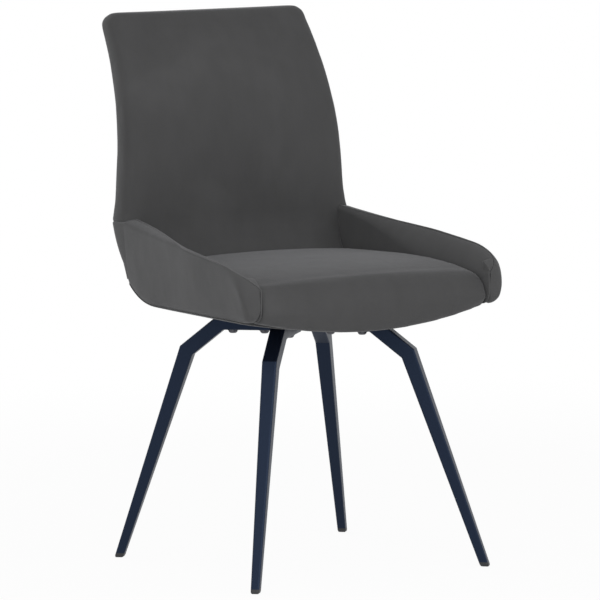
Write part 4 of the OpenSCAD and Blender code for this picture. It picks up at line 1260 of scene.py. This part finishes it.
class CHAIR_OT_solids(bpy.types.Operator):
    """Gives every solid that stays in sight its finish"""

    bl_idname = "chair.solids"
    bl_label = "Solid parts"

    NAMES = {
        "leg_steel": ["leg_front_left", "leg_front_right", "leg_rear_left", "leg_rear_right"],
        "black_plastic": ["foot_front_left", "foot_front_right", "foot_rear_left", "foot_rear_right"],
        "dark_fastener": ["leg_bolts", "leg_washers"],
        "plate_steel": ["lower_swivel_plate", "upper_swivel_plate"],
        "bright_steel": ["pivot_rivet", "bearing_balls", "seat_screws", "tee_nuts"],
        "zinc": ["wing_board_screws", "back_board_screws"],
        "nylon": ["ball_cage", "pivot_washer"],
        "plywood": ["spacer_board", "seat_board", "wing_board_left", "wing_board_right", "back_board"],
    }

    def execute(self, context):
        for name, nodes in self.NAMES.items():
            for node in nodes:
                mesh = frame["nodes"][node].data
                mesh.materials.clear()
                mesh.materials.append(finish(name))
        return {"FINISHED"}


class CHAIR_OT_stage(bpy.types.Operator):
    """Makes the floor, the room, the lamps and the camera"""

    bl_idname = "chair.stage"
    bl_label = "Stage"

    # Each lamp's place from the chair's middle along the view, to its right and up, and its side, in metres
    LAMPS = {
        "key": (-2.8, 0.0, 0.9, 2.0),
        "top": (-1.4, 0.0, 2.0, 1.8),
        "side": (1.4, -2.2, 0.8, 1.6),
        "fill": (-1.2, 2.4, 0.7, 1.6),
    }
    FLOOR_SIDE = 60.0
    FLOOR_WHITE = 0.94

    def execute(self, context):
        st = context.scene.chair_stage
        self.floor(st)
        self.room(st)
        turn = st.azimuth + st.yaw
        ahead = Vector((-math.sin(turn), math.cos(turn), 0))
        right = Vector((math.cos(turn), math.sin(turn), 0))
        middle = Vector((0, AXIS_Y / 1000, 0.5))
        for name, (along, aside, up, size) in self.LAMPS.items():
            place = middle + along * ahead + aside * right + Vector((0, 0, up))
            self.lamp(name, place, middle, size, getattr(st, name))
        self.camera(st, ahead, right)
        context.scene.view_settings.view_transform = "Standard"
        return {"FINISHED"}

    def floor(self, st):
        """A wide plane. The camera and reflections see it nearly white, with the chair's shadow on it, and
        white farther off. From below it lets the view through."""
        corner = np.array([[-1, -1, 0], [1, -1, 0], [1, 1, 0], [-1, 1, 0]]) * self.FLOOR_SIDE / 2
        mesh = bpy.data.meshes.new("floor")
        mesh.from_pydata(corner, [], [[0, 1, 2, 3]])
        floor = added("floor", mesh)
        f = Finish("floor")
        matt = f.wire("ShaderNodeBsdfDiffuse", inputs={"Color": rgba(st.floor)})
        white = f.wire("ShaderNodeEmission", inputs={"Color": (1, 1, 1, 1), "Strength": 1.0})
        away = f.wire("ShaderNodeVectorMath", {"operation": "LENGTH"}, {0: f.place}, output="Value")
        glow = f.seen() * (self.FLOOR_WHITE + away.eased(1.0, 2.5) * (1 - self.FLOOR_WHITE))
        shown = f.wire("ShaderNodeMixShader", inputs={0: glow, 1: matt, 2: white})
        clear = f.wire("ShaderNodeBsdfTransparent")
        below = f.wire("ShaderNodeNewGeometry", output="Backfacing")
        mesh.materials.append(f.shown(f.wire("ShaderNodeMixShader", inputs={0: below, 1: shown, 2: clear})))

    def room(self, st):
        """Even light from all round, which the camera and reflections see as white."""
        f = Finish("room", "worlds", "ShaderNodeOutputWorld")
        strength = f.wire("ShaderNodeMapRange", inputs={"Value": f.seen(), "To Min": st.room, "To Max": 1.0})
        sky = f.wire("ShaderNodeBackground", inputs={"Color": (1, 1, 1, 1), "Strength": strength})
        bpy.context.scene.world = f.shown(sky)

    def lamp(self, name, place, target, size, power):
        """A square soft light that faces the chair."""
        light = bpy.data.lights.new(name, "AREA")
        light.shape, light.size, light.energy = "SQUARE", size, power
        lamp = added(name, light)
        lamp.location = place
        lamp.rotation_euler = (place - target).to_track_quat("Z", "Y").to_euler()
        lamp.visible_camera = False

    def camera(self, st, ahead, right):
        """The photograph's camera: its direction from azimuth, yaw and pitch, tipped by roll."""
        cam = bpy.data.cameras.new("camera")
        cam.sensor_width, cam.lens = 36.0, st.lens
        cam.clip_start, cam.clip_end = 0.1, 100.0
        camera = added("camera", cam)
        forward = ahead * math.cos(st.pitch) - Vector((0, 0, math.sin(st.pitch)))
        up = right.cross(forward)
        across = right * math.cos(st.roll) + up * math.sin(st.roll)
        upward = up * math.cos(st.roll) - right * math.sin(st.roll)
        turned = Matrix((across, upward, -forward)).transposed().to_4x4()
        aside, back = math.sin(st.azimuth) * st.distance, math.cos(st.azimuth) * st.distance
        stand = (aside, AXIS_Y / 1000 - back, st.height)
        camera.matrix_world = Matrix.Translation(stand) @ turned
        bpy.context.scene.camera = camera


STEPS = ["solids", "seat", "back", "wings", "tub", "liner", "stage"]


class CHAIR_PT_panel(bpy.types.Panel):
    """Lists the chair's pieces"""

    bl_idname = "CHAIR_PT_panel"
    bl_label = "Swivel chair"
    bl_space_type = "VIEW_3D"
    bl_region_type = "UI"
    bl_category = "Chair"

    def draw(self, context):
        for group in (context.scene.chair_padding, context.scene.chair_looks, context.scene.chair_stage):
            box = self.layout.box()
            for name in group.bl_rna.properties.keys():
                if name not in {"rna_type", "name"}:
                    box.prop(group, name)
        for step in STEPS:
            self.layout.operator(f"chair.{step}")


CLASSES = [
    ChairPadding,
    ChairLooks,
    ChairStage,
    CHAIR_OT_solids,
    CHAIR_OT_seat,
    CHAIR_OT_back,
    CHAIR_OT_wings,
    CHAIR_OT_tub,
    CHAIR_OT_liner,
    CHAIR_OT_stage,
    CHAIR_PT_panel,
]


def register():
    for cls in CLASSES:
        bpy.utils.register_class(cls)
    bpy.types.Scene.chair_padding = bpy.props.PointerProperty(type=ChairPadding)
    bpy.types.Scene.chair_looks = bpy.props.PointerProperty(type=ChairLooks)
    bpy.types.Scene.chair_stage = bpy.props.PointerProperty(type=ChairStage)


def unregister():
    del bpy.types.Scene.chair_padding, bpy.types.Scene.chair_looks, bpy.types.Scene.chair_stage
    for cls in reversed(CLASSES):
        bpy.utils.unregister_class(cls)


def main():
    """Makes every piece in order."""
    register()
    for step in STEPS:
        if getattr(bpy.ops.chair, step)() != {"FINISHED"}:
            raise RuntimeError(f"the step {step} didn't finish")


if __name__ == "__main__":
    main()
